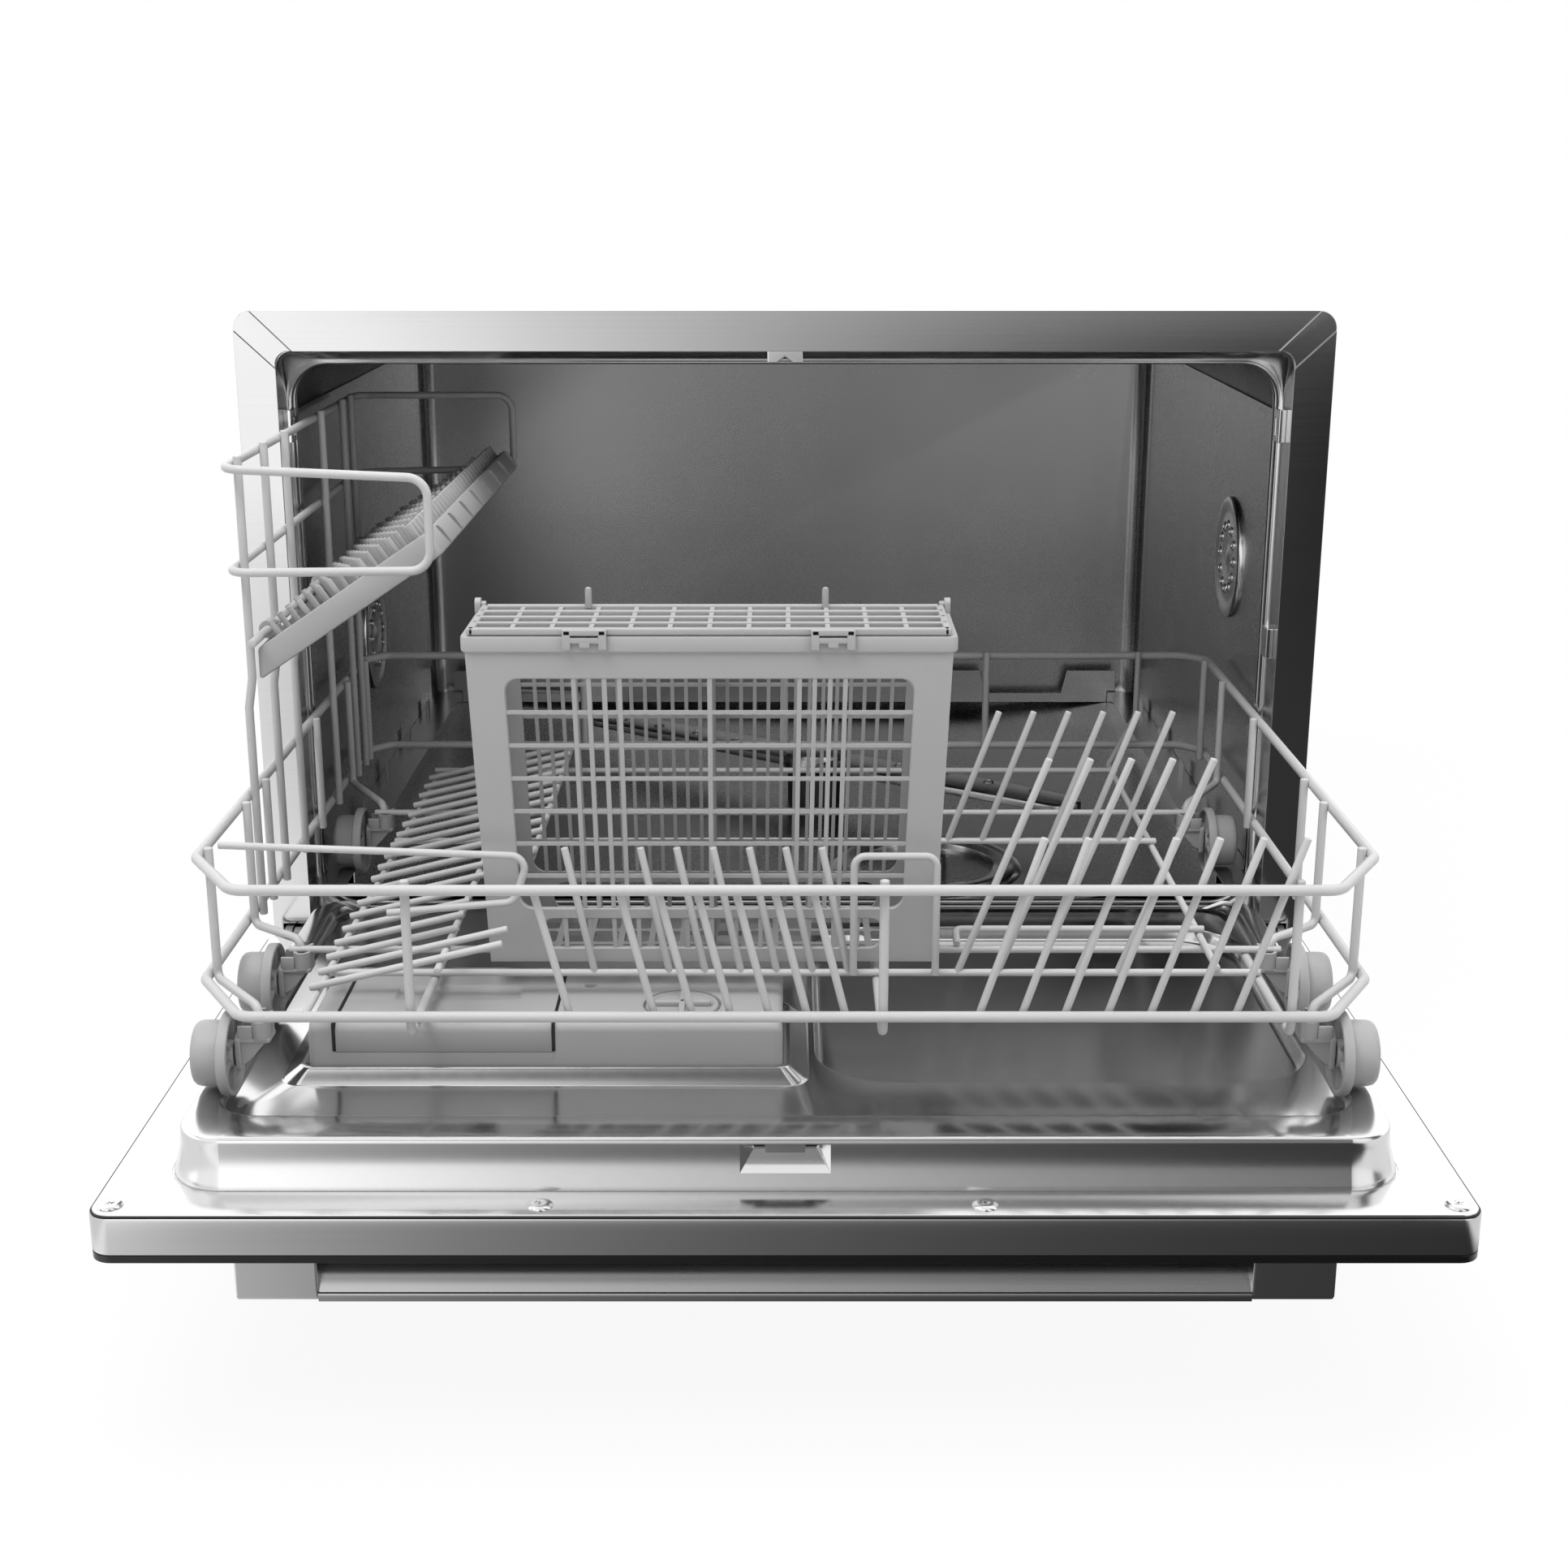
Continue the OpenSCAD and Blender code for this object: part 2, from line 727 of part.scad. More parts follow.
module door_springs() {
  color("silver") both_sides() translate([bracket_x - 8, 22, bay_z + 6]) rotate([-90, 0, 0]) difference() {
    cylinder(h = 120, r = 6);
    translate([0, 0, -e]) cylinder(h = 121, r = 4);
  }
}

// ---- Door ----

function door_outline(g) = round_box([-half_w - g, door_front - g], [half_w + g, door_end + g], casing_r + g);

module door_panel() {
  wall = 1.5;
  top = face_z - liner_t;
  color(steel) difference() {
    flat(door_outline(0), band_z, top);
    flat(round_box([-half_w + wall, door_front + wall], [half_w - wall, door_end - wall], casing_r - wall),
         band_z + wall, top + 1);
    both_sides() block([bracket_x - 5.5, door_end - 3, hinge_z - 8], [bracket_x - 0.5, door_end + 1, top + 1]);
    for (x = button_xs) translate([x, button_y, band_z - 1]) cylinder(h = 4, r = button_r + 1);
  }
}
module door_front_panel() {
  color("black") difference() {
    flat(door_outline(0), outer_z, band_z);
    for (x = button_xs) translate([x, button_y, outer_z - 1]) cylinder(h = panel_t + 2, r = button_r + 0.3);
  }
}

// Plan outline of the raised liner and of the pan in it, both open towards the hinge
function plug_outline(g) = round_box([-plug_half - g, plug_front - g], [plug_half + g, plug_end + g], 21 + g);
function pan_outline(g) = concat(
  [[pan_half + g, plug_end - liner_t], [-pan_half - g, plug_end - liner_t]],
  arc([-pan_half + 20, pan_front + 20], 20 + g, 180, 270),
  arc([pan_half - 20, pan_front + 20], 20 + g, 270, 360));
function well_outline(g) = round_box([11 - g, pan_front + 44 - g], [pan_half - 6 + g, plug_end - 30 + g], 34 + g);

module door_liner() {
  t = liner_t;
  foot = 12;
  disp_a = [disp_x, disp_front];
  disp_b = [disp_x + disp_w, disp_front + disp_d];
  color(steel) difference() {
    union() {
      difference() {
        union() {
          flat(door_outline(0), face_z - t, face_z);
          flat(plug_outline(0), face_z - e, ledge_z);
        }
        flat(pan_outline(0), pan_z, ledge_z + 1);
        flat(plug_outline(-t), face_z - t - 1, pan_z - t);
        difference() {
          flat(plug_outline(-t), pan_z - t - 1, ledge_z - t);
          flat(pan_outline(t), pan_z - t - 2, ledge_z);
        }
      }
      flat(well_outline(t), well_z - t, pan_z);
      hull() {
        block([disp_a[0] - foot, disp_a[1] - foot / 2 - 0.5, pan_z], [disp_b[0] + foot, disp_b[1] + foot / 2, pan_z + 1]);
        block([disp_a[0] - 3, disp_a[1] - 3, pan_z], [disp_b[0] + 3, disp_b[1] + 3, ledge_z + 2]);
      }
    }
    flat(well_outline(0), well_z, pan_z + 1);
    block([disp_a[0], disp_a[1], face_z - 3], [disp_b[0], disp_b[1], ledge_z + 3]);
    block([-latch_half, plug_front - 1, face_z + 7], [latch_half, plug_front + 15, ledge_z - t]);
    block([-pan_half, plug_end - 4, pan_z + 1], [pan_half, plug_end + 1, ledge_z + 1]);
    both_sides() block([pan_half - 8, pan_front + 3, pan_z + 1], [pan_half, pan_front + 24, ledge_z + 1]);
    for (x = screw_xs) translate([x, screw_y, face_z - 5]) cylinder(h = 10, r = 1.9);
  }
}

module door_screws() {
  color("silver") for (x = screw_xs) translate([x, screw_y, 0]) {
    translate([0, 0, face_z]) cylinder(h = 1.5, r = 5.2);
    translate([0, 0, face_z - 8]) cylinder(h = 8.5, r = 1.75);
  }
}

module door_handle() {
  z = handle_z;
  back = handle_front + handle_d;
  wall = 2.6;
  half = handle_w / 2 - cap_w;
  foot = handle_front + 5.5;
  color(steel) sideways([[back, outer_z], [back - wall - 2.4, outer_z], [foot + 4.3, z + 12], [foot + 0.6, z + wall + 2.6],
    [foot, z + wall], [handle_front + 3, z + wall], [handle_front + 1.5, z + wall + 1.3], [handle_front, z + wall + 1],
    [handle_front + 1.5, z], [foot + 2.6, z], [back - 7, z + 13.5]], -half, half);
}

module handle_caps() {
  z = handle_z;
  back = handle_front + handle_d;
  half = handle_w / 2;
  color(steel) both_sides() sideways([[back, outer_z], [handle_front + 0.5, outer_z], [handle_front, outer_z - 3],
    [handle_front, z + 2], [handle_front + 2, z], [back, z]], half - cap_w, half);
}

module control_strip() {
  half = 120;
  t = 1.2;
  color("black") difference() {
    flat(round_box([-half, strip_y], [half, strip_y + strip_d], 4), outer_z - t, outer_z);
    for (x = button_xs) translate([x, button_y, outer_z - t - 1]) cylinder(h = t + 2, r = button_r + 0.3);
    block([-50, strip_y + 7, outer_z - t - 1], [26, strip_y + strip_d - 7, outer_z - t + 0.5]);
  }
}

module button(x) {
  color(plastic_grey) translate([x, button_y, outer_z - 2.8]) cylinder(h = 4, r = button_r);
}

module power_button() {
  button(button_xs[0]);
}

module program_button() {
  button(button_xs[1]);
}

module start_button() {
  button(button_xs[2]);
}

module latch_bolt() {
  color(dark_steel) block([-8, plug_front + 7, face_z + 9], [8, plug_front + 11, ledge_z - liner_t - 2]);
}

module dispenser_body() {
  d1 = disp_front + disp_d;
  cup = [[lid_x + 4, disp_front + 6], [lid_x + lid_w - 4, d1 - 6]];
  color(plastic_grey) difference() {
    block([disp_x, disp_front, face_z + 3], [disp_x + disp_w, d1, disp_top]);
    block([lid_x - 0.4, disp_front - 1, disp_top - lid_h - 0.2], [lid_x + lid_w + 0.4, d1 - 2, disp_top + 1]);
    block([lid_x - 0.4, disp_front - 1, disp_top - 13.3], [lid_x + lid_w + 0.4, disp_front + lip_t + 0.3, disp_top + 1]);
    block([cup[0][0], cup[0][1], face_z + 14], [cup[1][0], cup[1][1], disp_top]);
    translate([cap_x, cap_y, disp_top - 2.6]) cylinder(h = 5, r = cap_r + 0.4);
    translate([cap_x, cap_y, face_z + 16]) cylinder(h = 40, r = cap_r - 5);
    translate([-87, cap_y + 22, disp_top - 6]) cylinder(h = 10, r = 3);
  }
}

module detergent_lid() {
  z = disp_top - lid_h;
  d1 = disp_front + disp_d - 2.4;
  color(plastic_grey) difference() {
    union() {
      block([lid_x, disp_front, z], [lid_x + lid_w, d1, disp_top]);
      block([lid_x, disp_front, disp_top - 13], [lid_x + lid_w, disp_front + lip_t, disp_top]);
    }
    block([lid_x + 20, disp_front + 27, disp_top - 1.6], [lid_x + lid_w - 16, disp_front + 46, disp_top + 1]);
  }
}

module rinse_cap() {
  color(plastic_grey) translate([cap_x, cap_y, disp_top - 2.4]) {
    cylinder(h = 2.6, r = cap_r);
    for (turn = [0, 90]) rotate(turn) translate([-cap_r + 2, -1.5, 2]) cube([2 * cap_r - 4, 3, 2.2]);
  }
}

// ---- Rack ----

function ring_points(z) = [
  [225, rack_front, z], [rack_half, rack_front + 42, z], [rack_half, rack_in - 13, z],
  [rack_half - 12, rack_in, z], [-rack_half + 12, rack_in, z], [-rack_half, rack_in - 13, z],
  [-rack_half, rack_front + 42, z], [-225, rack_front, z]];

module rack_rings() {
  color(wire_grey) for (z = [ring_low_z, ring_top_z]) wire_ring(ring_points(z), ring_d, 9);
}

// A wire that drops inside the rings at top_y and turns inwards to the clip of the roller at y
module roller_post(y, top_y) {
  low = clip_top - 5.6;
  wire([[post_x, top_y, post_top_z], [post_x, top_y, ring_low_z - 5], [clip_x, top_y, low],
        [clip_x, y + clip_half, low]], post_d, 4);
}

module rack_side_posts() {
  back_y = rack_in - (ring_d + post_d) / 2 + weld;
  color(wire_grey) {
    both_sides() {
      roller_post(roller_ys[0], roller_ys[0] + 33);
      roller_post(roller_ys[1], roller_ys[1] + 20);
      roller_post(roller_ys[2], roller_ys[2] + 42);
    }
    for (y = [-115, 0, 136]) rod([post_x, y, post_low_z], [post_x, y, post_top_z], post_d);
    for (x = [-120, 0, 120]) rod([x, back_y, post_low_z], [x, back_y, post_top_z], post_d);
  }
}

// Height of the sloping ribs at x
function rib_height(x) = plate_wire_z + (x - bowl_x) * rib_slope;

module rack_long_wires() {
  z = floor_wire_z;
  color(wire_grey) {
    for (x = front_post_xs)
      wire([[x, base_y, post_top_z], [x, base_y, under_wire_z], [x, roller_ys[1] + 6, under_wire_z]], post_d, 5);
    rod([bowl_x, roller_ys[0] - 6, z], [bowl_x, 112, z], tine_d);
    rod([rib_x, -130, rib_height(rib_x) - 3.1], [rib_x, 98, rib_height(rib_x) - 3.1], tine_d);
    rod([rib_short, -242, rib_height(rib_short) - 3.1], [rib_short, 98, rib_height(rib_short) - 3.1], tine_d);
    wire([[long_x + 20, rack_in - (ring_d + tine_d) / 2 + weld, post_top_z],
          [long_x + 20, rack_in - (ring_d + tine_d) / 2 + weld, 190], [long_x, 126, z], [long_x, plate_y - 4, z]], tine_d, 6);
  }
}

module rack_cross_wires() {
  color(wire_grey) {
    for (y = roller_ys) rod([-clip_x - 6, y, cross_z], [clip_x + 6, y, cross_z], tine_d);
    rod([bowl_x - 2, plate_y, cross_z], [long_x + 20, plate_y, cross_z], tine_d);
    wire([[long_x + 2, -163, plate_wire_z], [78, -163, plate_wire_z], [78, -174, cross_z + tine_d - weld]], tine_d, 3);
    for (y = [rear_plate_y, 104])
      rod([bowl_x - 2, y, plate_wire_z], [long_x + 2, y, plate_wire_z], tine_d);
    for (i = [0:18]) {
      y = -234 + rib_pitch * i;
      x = y > basket_front - 8 && y < basket_front + basket_d + 6 ? rib_short + 3 : rib_x + 2;
      rod([bowl_x - 3, y, rib_height(bowl_x - 3)], [x, y, rib_height(x)], tine_d);
    }
  }
}

// A row of n tines that stand on the wire at y, z, from x on, with their tips moved by lean
module tine_row(x, y, z, n, pitch, lean, h) {
  for (i = [0:n - 1]) rod([x + pitch * i, y, z], [x + pitch * i + lean, y, z + h], tine_d);
}

module rack_left_tines() {
  small = 15.8;
  base = cross_z;
  loop_y = plate_y - tine_d + weld;
  color(wire_grey) {
    tine_row(-84, plate_y, base, 1, small, -12, 58);
    tine_row(-51, plate_y, base, 6, small, -12, 58);
    tine_row(-89, tine_y, ring_low_z - 1, 1, small, -14, 56);
    tine_row(-54, tine_y, ring_low_z - 1, 6, small, -14, 56);
    wire([[-post_x, loop_y, ring_top_z - 1], [-111, loop_y, ring_top_z - 6], [-118, loop_y, 199], [-174, loop_y, 194]], tine_d, 6);
    wire([[30, loop_y, base], [30, loop_y, ring_top_z - 6], [66, loop_y, ring_top_z - 6], [66, loop_y, base]], tine_d, 5);
  }
}

module rack_right_tines() {
  color(wire_grey) {
    tine_row(80, tine_y, ring_low_z - 1, 7, tine_pitch, tine_lean, 77);
    tine_row(76, plate_y, cross_z, 5, tine_pitch, tine_lean * 1.5, 98);
    tine_row(84, rear_plate_y, plate_wire_z, 6, tine_pitch, tine_lean, 69);
  }
}

module cup_frame() {
  top = cup_wire_z;
  low = cup_wire_z - 45;
  knee = shelf_z - 18;
  color(wire_grey) {
    for (y = cup_post_ys)
      wire([[cup_post_x, y, top + 4], [cup_post_x, y, knee], [-post_x, y, knee - 14], [-post_x, y, post_low_z]], post_d, 6);
    wire_ring([[cup_wire_x, loop_front, top], [loop_x, loop_front, top - 4], [loop_x, loop_front, low],
               [cup_wire_x, loop_front, low - 1], [cup_wire_x, loop_back, low + 1], [loop_x, loop_back, low + 3],
               [loop_x, loop_back, top], [cup_wire_x, loop_back, top]], post_d, 9);
    rod([shelf_x, shelf_front - 10, shelf_z], [shelf_x, shelf_front + shelf_len + 4, shelf_z], post_d);
  }
}

module roller_brackets() {
  x0 = clip_x - 4.2;
  x1 = clip_x + 4.2;
  plate = drum_x - roller_flange_t - 3.2;
  color(plastic_grey) both_sides() for (y = roller_ys) {
    difference() {
      block([x0, y - clip_half, roller_z + 3], [x1, y + clip_half, clip_top]);
      rod([x0 - 1, y, cross_z], [x1 + 1, y, cross_z], tine_d - 0.02);
    }
    block([x1 - e, y - 4, roller_z - 7], [plate + 2.6, y + 4, cross_z - 3]);
    translate([plate, y, roller_z]) rotate([0, 90, 0]) cylinder(h = drum_x + drum_w + 1.6 - plate, r = axle_r);
    translate([drum_x + drum_w + 0.3, y, roller_z]) rotate([0, 90, 0]) cylinder(h = 1.3, r = axle_r + 1.4);
  }
}

module roller_pair(y) {
  color(plastic_grey) both_sides() translate([drum_x, y, roller_z]) rotate([0, 90, 0]) difference() {
    union() {
      translate([0, 0, -roller_flange_t]) cylinder(h = roller_flange_t, r = roller_flange_r);
      cylinder(h = drum_w, r = drum_r);
    }
    translate([0, 0, -roller_flange_t - 1]) cylinder(h = drum_w + 20, r = axle_r + axle_gap);
    translate([0, 0, drum_w - 2]) cylinder(h = 5, r = drum_r - 2.5);
  }
}

module front_rollers() {
  roller_pair(roller_ys[0]);
}

module middle_rollers() {
  roller_pair(roller_ys[1]);
}

module rear_rollers() {
  roller_pair(roller_ys[2]);
}

// ---- Cup shelf ----

module cup_shelf() {
  floor_t = 3;
  wall = 2.4;
  low = -shelf_rim;
  right = shelf_w - 13;
  end = shelf_front + shelf_len;
  lugs = [-115, 0, 108];
  color(plastic_grey) translate([shelf_x, 0, shelf_z]) rotate([0, -shelf_tilt, 0]) difference() {
    union() {
      difference() {
        upright([[shelf_left(low), low], [right, low], [right, 0], [shelf_left(0), 0]], shelf_front, end);
        upright([[shelf_left(low + floor_t) + 4, low + floor_t], [right - wall, low + floor_t], [right - wall, 1],
                 [shelf_left(1) + 4, 1]], shelf_front + wall, end - wall);
        for (x = [4:18:right - 18], y = [shelf_front + 10:34:end - 30])
          block([x, y, low - 1], [x + 12, y + 26, 0]);
      }
      for (x = [18:18:right - 6], y = [shelf_front + 14:20:end - 10])
        block([x - 1.4, y, low + 1], [x + 1.4, y + 4, 3]);
      for (y = lugs) {
        translate([0, y + 8, 0]) rotate([90, 0, 0]) cylinder(h = 8, r = post_d / 2 + 2.3);
        block([-2, y, low + 1], [4.2, y + 8, -1]);
      }
    }
    translate([0, end + 10, 0]) rotate([90, 0, 0]) cylinder(h = shelf_len + 20, r = post_d / 2 + 0.06);
  }
}

// The shelf's edge beside the posts, at the height z in the shelf's own frame
function shelf_left(z) = (-0.8 + z * sin(shelf_tilt)) / cos(shelf_tilt);

// ---- Cutlery basket ----

function basket_face(g) = [
  [basket_x + basket_taper + g, basket_z + g], [basket_x + basket_w - basket_taper - g, basket_z + g],
  [basket_x + basket_w - 2 - g, basket_top - basket_rim + e], [basket_x + 2 + g, basket_top - basket_rim + e]];

module cutlery_basket() {
  t = basket_t;
  y0 = basket_front + 1.5;
  y1 = basket_front + basket_d - 1.5;
  win = [[basket_x + 18, basket_z + 26], [basket_x + basket_w - 18, basket_top - 18]];
  bars = 16;
  rows = 6;
  pitch = (win[1][0] - win[0][0]) / bars;
  step = (win[1][1] - win[0][1]) / rows;
  color(plastic_grey) {
    difference() {
      union() {
        difference() {
          upright(basket_face(0), y0, y1);
          upright(basket_face(t), y0 + t, y1 - t);
        }
        mouth_band();
        block([basket_x + basket_w / 2 - 1, y0 + 1, basket_z + 1], [basket_x + basket_w / 2 + 1, y1 - 1, basket_top - 14]);
        for (x = [basket_x, basket_x + basket_w - ear_t])
          block([x, lid_pin_y - 3, basket_top - 1], [x + ear_t, lid_pin_y + 3, lid_pin_z + 3]);
      }
      for (i = [0:bars - 1], j = [0:rows - 1])
        block([win[0][0] + i * pitch + 1, y0 - 5, win[0][1] + j * step + 1],
              [win[0][0] + (i + 1) * pitch - 1, y1 + 5, win[0][1] + (j + 1) * step - 1]);
      translate([basket_x - 1, lid_pin_y, lid_pin_z]) rotate([0, 90, 0])
        cylinder(h = basket_w + 2, r = lid_pin_r + 0.05);
    }
  }
}

// The thicker band round the basket's mouth
module mouth_band() {
  difference() {
    block([basket_x, basket_front, basket_top - basket_rim], [basket_x + basket_w, basket_front + basket_d, basket_top]);
    block([basket_x + 2 + basket_t, basket_front + 1.5 + basket_t, basket_top - basket_rim - 1],
          [basket_x + basket_w - 2 - basket_t, basket_front + basket_d - 1.5 - basket_t, basket_top + 1]);
  }
}

module basket_lid() {
  x0 = basket_x + ear_t + 0.4;
  x1 = basket_x + basket_w - ear_t - 0.4;
  y0 = basket_front + 0.5;
  y1 = lid_pin_y + lid_pin_r;
  z = basket_top + 0.4;
  slats = 4;
  ribs = 12;
  slot_x = (x1 - x0 - 4) / ribs;
  slot_y = (y1 - y0 - 6) / slats;
  color(plastic_grey) {
    difference() {
      block([x0, y0, z], [x1, y1, z + lid_t]);
      for (i = [0:ribs - 1], j = [0:slats - 1])
        block([x0 + 2 + i * slot_x + 1, y0 + 2 + j * slot_y + 1.2, z - 1],
              [x0 + 2 + (i + 1) * slot_x - 1, y0 + 2 + (j + 1) * slot_y - 1.2, z + lid_t + 1]);
    }
    for (x = [[x0 - ear_t, x0 + 2], [x1 - 2, x1 + ear_t]])
      translate([x[0], lid_pin_y, lid_pin_z]) rotate([0, 90, 0]) cylinder(h = x[1] - x[0], r = lid_pin_r);
    for (x = [basket_x + 44, basket_x + 150]) {
      block([x, y0 - 2.8, basket_top - 13], [x + 19, y0 - 0.8, z + lid_t]);
      block([x, y0 - 2.8, z], [x + 19, y0 + 1, z + lid_t]);
      translate([x + 7, y1 - 4, z + lid_t - 1]) cylinder(h = 9, r = 1.5);
    }
  }
}

seat() outer_casing();
seat() rear_panel();
seat() front_frame();
seat() frame_corners();
seat() front_plinth();
seat() base_tray();
seat() feet();
seat() tub();
seat() tub_flange();
seat() door_seal();
seat() guide_rails();
seat() rear_ledge();
seat() side_vents();
seat() rail_hooks();
seat() latch_striker();
seat() sump();
seat() flat_filter();
seat() filter_cup();
seat() spray_hub();
seat() spray_arm();
seat() heater();
seat() circulation_pump();
seat() drain_pump();
seat() inlet_valve();
seat() drain_spigot();
seat() cable_gland();
seat() counterweight();
seat() hinge_brackets();
seat() door_springs();
seat() door_panel();
seat() door_front_panel();
seat() door_liner();
seat() door_screws();
seat() door_handle();
seat() handle_caps();
seat() control_strip();
seat() hinge_arms();
seat() latch_bolt();
seat() dispenser_body();
seat() detergent_lid();
seat() rinse_cap();
seat() power_button();
seat() program_button();
seat() start_button();
seat() rack_rings();
seat() rack_side_posts();
seat() rack_long_wires();
seat() rack_cross_wires();
seat() rack_left_tines();
seat() rack_right_tines();
seat() cup_frame();
seat() roller_brackets();
seat() front_rollers();
seat() middle_rollers();
seat() rear_rollers();
seat() cup_shelf();
seat() cutlery_basket();
seat() basket_lid();
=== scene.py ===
# %% [markdown]
# # A countertop dishwasher, opened for loading
# The door is folded down and the dish rack stands rolled out on it. The solids of every
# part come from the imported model. This lesson dresses them: each cell says what a piece
# is on the real machine, how it could be made, and why it is made this way here.

import json
import math

import bmesh
import bpy
import numpy as np
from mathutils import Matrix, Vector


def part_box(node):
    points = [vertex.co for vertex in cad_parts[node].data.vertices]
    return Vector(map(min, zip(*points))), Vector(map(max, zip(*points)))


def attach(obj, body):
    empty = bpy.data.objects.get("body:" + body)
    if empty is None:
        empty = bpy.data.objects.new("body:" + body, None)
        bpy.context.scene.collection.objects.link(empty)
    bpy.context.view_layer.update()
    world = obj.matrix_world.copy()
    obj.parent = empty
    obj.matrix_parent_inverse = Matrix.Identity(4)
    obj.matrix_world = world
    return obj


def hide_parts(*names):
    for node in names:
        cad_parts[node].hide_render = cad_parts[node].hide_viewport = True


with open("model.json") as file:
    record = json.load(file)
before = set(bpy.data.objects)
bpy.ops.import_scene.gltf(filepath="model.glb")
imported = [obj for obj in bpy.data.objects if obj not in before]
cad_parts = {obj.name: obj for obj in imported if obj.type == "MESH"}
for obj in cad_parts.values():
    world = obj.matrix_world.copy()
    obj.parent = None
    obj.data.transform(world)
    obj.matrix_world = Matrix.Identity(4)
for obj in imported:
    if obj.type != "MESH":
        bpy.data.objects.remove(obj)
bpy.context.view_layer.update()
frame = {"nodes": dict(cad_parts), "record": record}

# %% [markdown]
# ## Working in the maker's drawing
# Sizes are easiest to read in millimetres from the front frame: x to the right, y back,
# z up from the worktop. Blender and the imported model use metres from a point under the
# middle, so every array goes through one function on its way into a mesh.

# %% From drawing to scene
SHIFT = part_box("front_plinth")[0][1]  # where the front frame's plane lies in the scene


def place(points):
    """Millimetres in the drawing to metres in the scene: divide by 1000, then move y by the frame's place."""
    return np.asarray(points, float) / 1000.0 + np.array([0.0, SHIFT, 0.0])


def spot(x, y, z):
    return tuple(float(v) for v in place([x, y, z]))


print("front frame at y =", round(SHIFT, 4))

# %% [markdown]
# ## Shader maths in plain Python
# A finish is a small sum: grain times strength, plus a base value. Wiring Math nodes by
# hand hides that sum, so a class wraps a socket and lets Python's own operators add the
# nodes. Anything that isn't arithmetic comes from one method that adds a single node.


# %% Sockets that add up
class Val:
    """A socket in a node tree that can be used in an expression."""

    def __init__(self, tree, socket):
        self.tree, self.socket = tree, socket

    def math(self, op, other, flip=False):
        a, b = (other, self) if flip else (self, other)
        return node(self.tree, "ShaderNodeMath", {"operation": op}, {0: a, 1: b})

    def __add__(self, o): return self.math("ADD", o)
    def __radd__(self, o): return self.math("ADD", o, True)
    def __sub__(self, o): return self.math("SUBTRACT", o)
    def __rsub__(self, o): return self.math("SUBTRACT", o, True)
    def __mul__(self, o): return self.math("MULTIPLY", o)
    def __rmul__(self, o): return self.math("MULTIPLY", o, True)
    def __truediv__(self, o): return self.math("DIVIDE", o)
    def __pow__(self, o): return self.math("POWER", o)
    def __rpow__(self, o): return self.math("POWER", o, True)

    def size(self):
        return self.math("ABSOLUTE", 0.0)

    def clamp(self, low=0.0, high=1.0):
        return self.math("MAXIMUM", low).math("MINIMUM", high)


def node(tree, kind, settings=None, inputs=None, out=0):
    """Adds one node, sets its properties, then fills its sockets with values or links."""
    n = tree.nodes.new(kind)
    for key, value in (settings or {}).items():
        setattr(n, key, value)
    for key, value in (inputs or {}).items():
        if isinstance(value, Val):
            tree.links.new(value.socket, n.inputs[key])
        else:
            n.inputs[key].default_value = value
    return Val(tree, n.outputs[out])


def emptied(owner):
    """The node tree of a material or world, with nothing in it yet."""
    owner.use_nodes = True
    owner.node_tree.nodes.clear()
    return owner.node_tree


def shown(tree, surface, kind="ShaderNodeOutputMaterial"):
    """Ends a tree: the surface goes to its output node."""
    tree.links.new(surface, tree.nodes.new(kind).inputs[0])


def axes_of(tree, vector):
    """The three numbers of a vector socket."""
    split = tree.nodes.new("ShaderNodeSeparateXYZ")
    tree.links.new(vector.socket, split.inputs[0])
    return [Val(tree, socket) for socket in split.outputs]


def place_on(tree):
    """Object coordinates: metres on the piece itself."""
    return node(tree, "ShaderNodeTexCoord", out=3)


def finish_of(name, colour, rough, metal=0.0):
    """A new material with a Principled shader: returns (material, tree, feed), where feed links sockets."""
    mat = bpy.data.materials.new(name)
    tree = emptied(mat)
    shader = tree.nodes.new("ShaderNodeBsdfPrincipled")
    shown(tree, shader.outputs[0])
    shader.inputs["Base Color"].default_value = (*colour, 1.0)
    shader.inputs["Roughness"].default_value = rough
    shader.inputs["Metallic"].default_value = metal

    def feed(**links):
        for key, value in links.items():
            tree.links.new(value.socket, shader.inputs[key.replace("_", " ")])

    return mat, tree, feed


def grain(tree, stretch, detail):
    """Noise on Object coordinates, stretched by a Mapping node: large numbers make fine lines across that axis."""
    moved = node(tree, "ShaderNodeMapping", {}, {0: place_on(tree), "Scale": stretch})
    return node(tree, "ShaderNodeTexNoise", {}, {"Vector": moved, "Scale": 1.0, "Detail": detail, "Roughness": 0.55})


def bumped(tree, height, strength, distance):
    return node(tree, "ShaderNodeBump", {}, {"Strength": strength, "Distance": distance, "Height": height})


def blend(tree, mask, low, high):
    """A colour between low and high, by the mask; either end may itself be a colour socket."""
    low, high = (c if isinstance(c, Val) else (*c, 1.0) for c in (low, high))
    return node(tree, "ShaderNodeMix", {"data_type": "RGBA"}, {0: mask, 6: low, 7: high}, out=2)


# %% [markdown]
# ## Stainless steel
# Most of the machine is stainless sheet. The front has a straight brushed grain along its
# width, the tub a softer satin grain, and the small fittings are polished. All are one
# recipe: a metal whose roughness and height follow noise that is stretched along the grain.
# The grain only changes roughness a little, because real brushing is seen mostly in how the
# highlight smears, not as drawn lines. The tub's two upper corners carry painted shade: their
# base colour is turned near black, standing in for the shade and the dark reflections there.
# SHADE_UP and SHADE_OUT say above which height and beyond which distance from the middle.


# %% Steel finishes
# SHADE_UP, SHADE_OUT, EDGE_UP and EDGE_OUT place the painted shade in the tub's upper corners.
SHADE_UP, SHADE_OUT = spot(0, 0, 384.6)[2], 0.222
EDGE_UP, EDGE_OUT = 1500.0, 300.0  # how sharply the dark begins in each direction, per metre


